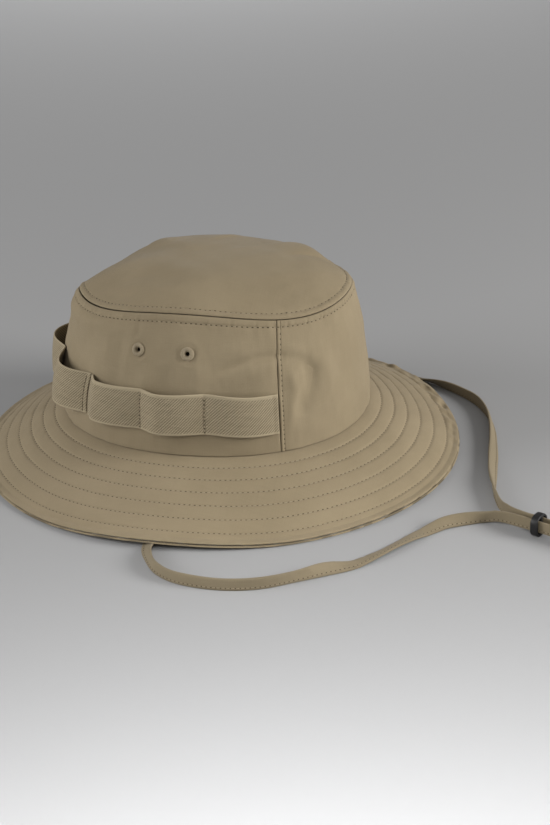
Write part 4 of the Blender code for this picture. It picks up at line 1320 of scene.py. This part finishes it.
def slider():
    """A moulded two-slot block, rounded all over."""
    block = prism("slider_form", rounded_outline(SLIDER_SIZE, 5.4 * MM, 14), SLIDER_LENGTH / 2)
    slot = rounded_outline(SLOT_SIZE, 1.3 * MM, 6)
    cutters = [prism("slot_form", slot, SLIDER_LENGTH, side * STRAND_OFFSET * MM) for side in (-1, 1)]
    for cutter in cutters:
        cut = block.modifiers.new("slot", "BOOLEAN")
        cut.operation = "DIFFERENCE"
        cut.object = cutter
        cut.solver = "EXACT"
    rounded = block.modifiers.new("rounded", "BEVEL")
    rounded.width = 1.1 * MM
    rounded.segments = 5
    rounded.limit_method = "ANGLE"
    rounded.angle_limit = math.radians(50)
    shaped = block.evaluated_get(bpy.context.evaluated_depsgraph_get())
    mesh = bpy.data.meshes.new_from_object(shaped)
    turn = Matrix.Rotation(math.atan2(-SLIDER_ALONG.x, SLIDER_ALONG.y), 4, "Z")
    mesh.transform(Matrix.Translation(SLIDER_CENTRE) @ turn)
    for made in [block] + cutters:
        bpy.data.objects.remove(made, do_unlink=True)
    mesh.materials.clear()
    mesh.materials.append(plastic_finish)
    mesh.shade_smooth()
    piece = bpy.data.objects.new("strap_slider_block", mesh)
    bpy.context.collection.objects.link(piece)
    return dress(piece, "black_plastic", "strap_slider", body="slider")


# ---------------------------------------------------------------- camera, light and floor

def camera():
    """The view from the hat's front right, a little above it."""
    azimuth, elevation, roll = math.radians(-73.2), math.radians(26.7), math.radians(-3.28)
    distance = 1.4
    aim_across, aim_up, aim_height = 38.6 * MM, -26.8 * MM, 50 * MM
    back = Vector((math.sin(azimuth) * math.cos(elevation), -math.cos(azimuth) * math.cos(elevation),
                   math.sin(elevation)))
    level = Vector((math.cos(azimuth), math.sin(azimuth), 0))
    upward = back.cross(level)
    target = Vector((0, 0, aim_height)) + level * aim_across + upward * aim_up
    right = level * math.cos(roll) + upward * math.sin(roll)
    up = upward * math.cos(roll) - level * math.sin(roll)
    data = bpy.data.cameras.new("view")
    data.sensor_width = 36
    data.lens = 90.58
    data.clip_start, data.clip_end = 0.05, 50
    made = bpy.data.objects.new("view", data)
    bpy.context.collection.objects.link(made)
    made.matrix_world = Matrix.Translation(target + back * distance) @ Matrix(
        (right, up, back)).transposed().to_4x4()
    bpy.context.scene.camera = made


def area_light(name, place, target, size, power, spread, colour=(1, 1, 1)):
    """A round lamp aimed at a target, with its spread in degrees."""
    data = bpy.data.lights.new(name, "AREA")
    data.shape = "DISK"
    data.size = size
    data.energy = power
    data.color = colour
    data.spread = math.radians(spread)
    made = bpy.data.objects.new(name, data)
    bpy.context.collection.objects.link(made)
    made.location = place
    made.rotation_euler = (Vector(target) - Vector(place)).to_track_quat("-Z", "Y").to_euler()
    made.visible_camera = False


def studio():
    """A plain pale floor, a soft key and fill, and two lamps that wash the floor beside the hat."""
    worked = bmesh.new()
    bmesh.ops.create_circle(worked, cap_ends=True, radius=9.0, segments=96)
    mesh = bpy.data.meshes.new("floor")
    worked.to_mesh(mesh)
    worked.free()
    floor = bpy.data.objects.new("floor", mesh)
    bpy.context.collection.objects.link(floor)
    nodes = Nodes("pale_floor")
    mesh.materials.append(nodes.finish((0.345, 0.347, 0.352, 1), 0.85, specular=0.1))

    world = bpy.data.worlds.new("soft_room")
    bpy.context.scene.world = world
    world.use_nodes = True
    background = world.node_tree.nodes["Background"]
    background.inputs[0].default_value = (1.0, 0.99, 0.98, 1)
    background.inputs[1].default_value = 0.30
    area_light("key", (-0.10, -1.76, 0.74), (0, 0, 0.06), 0.8, 38, 180, (1.0, 0.985, 0.965))
    area_light("side_fill", (-0.72, 1.42, 0.70), (0, 0, 0.06), 1.0, 20, 180, (1.0, 0.99, 0.98))
    area_light("far_wash", (1.75, 0.52, 1.20), (1.75, 0.52, 0.0), 0.8, 7.6, 100)
    area_light("floor_wash", (-0.74, -0.25, 0.50), (-0.74, -0.25, 0.0), 0.5, 6.0, 110)
    settings = bpy.context.scene.view_settings
    settings.view_transform = "Standard"
    settings.look = "None"


def interlining():
    """The stiff layer in the brim keeps its CAD form and gets a felt finish."""
    for part in bpy.data.objects["brim_interlining"].material_slots:
        part.material = felt_finish


# ---------------------------------------------------------------- assembly

camera()
strap(slider())
crown_panels()
top_panel()
crown_stitches()
eyelets()
webbing()
brim_layers()
brim_stitches()
inside_pieces()
anchors()
interlining()
studio()
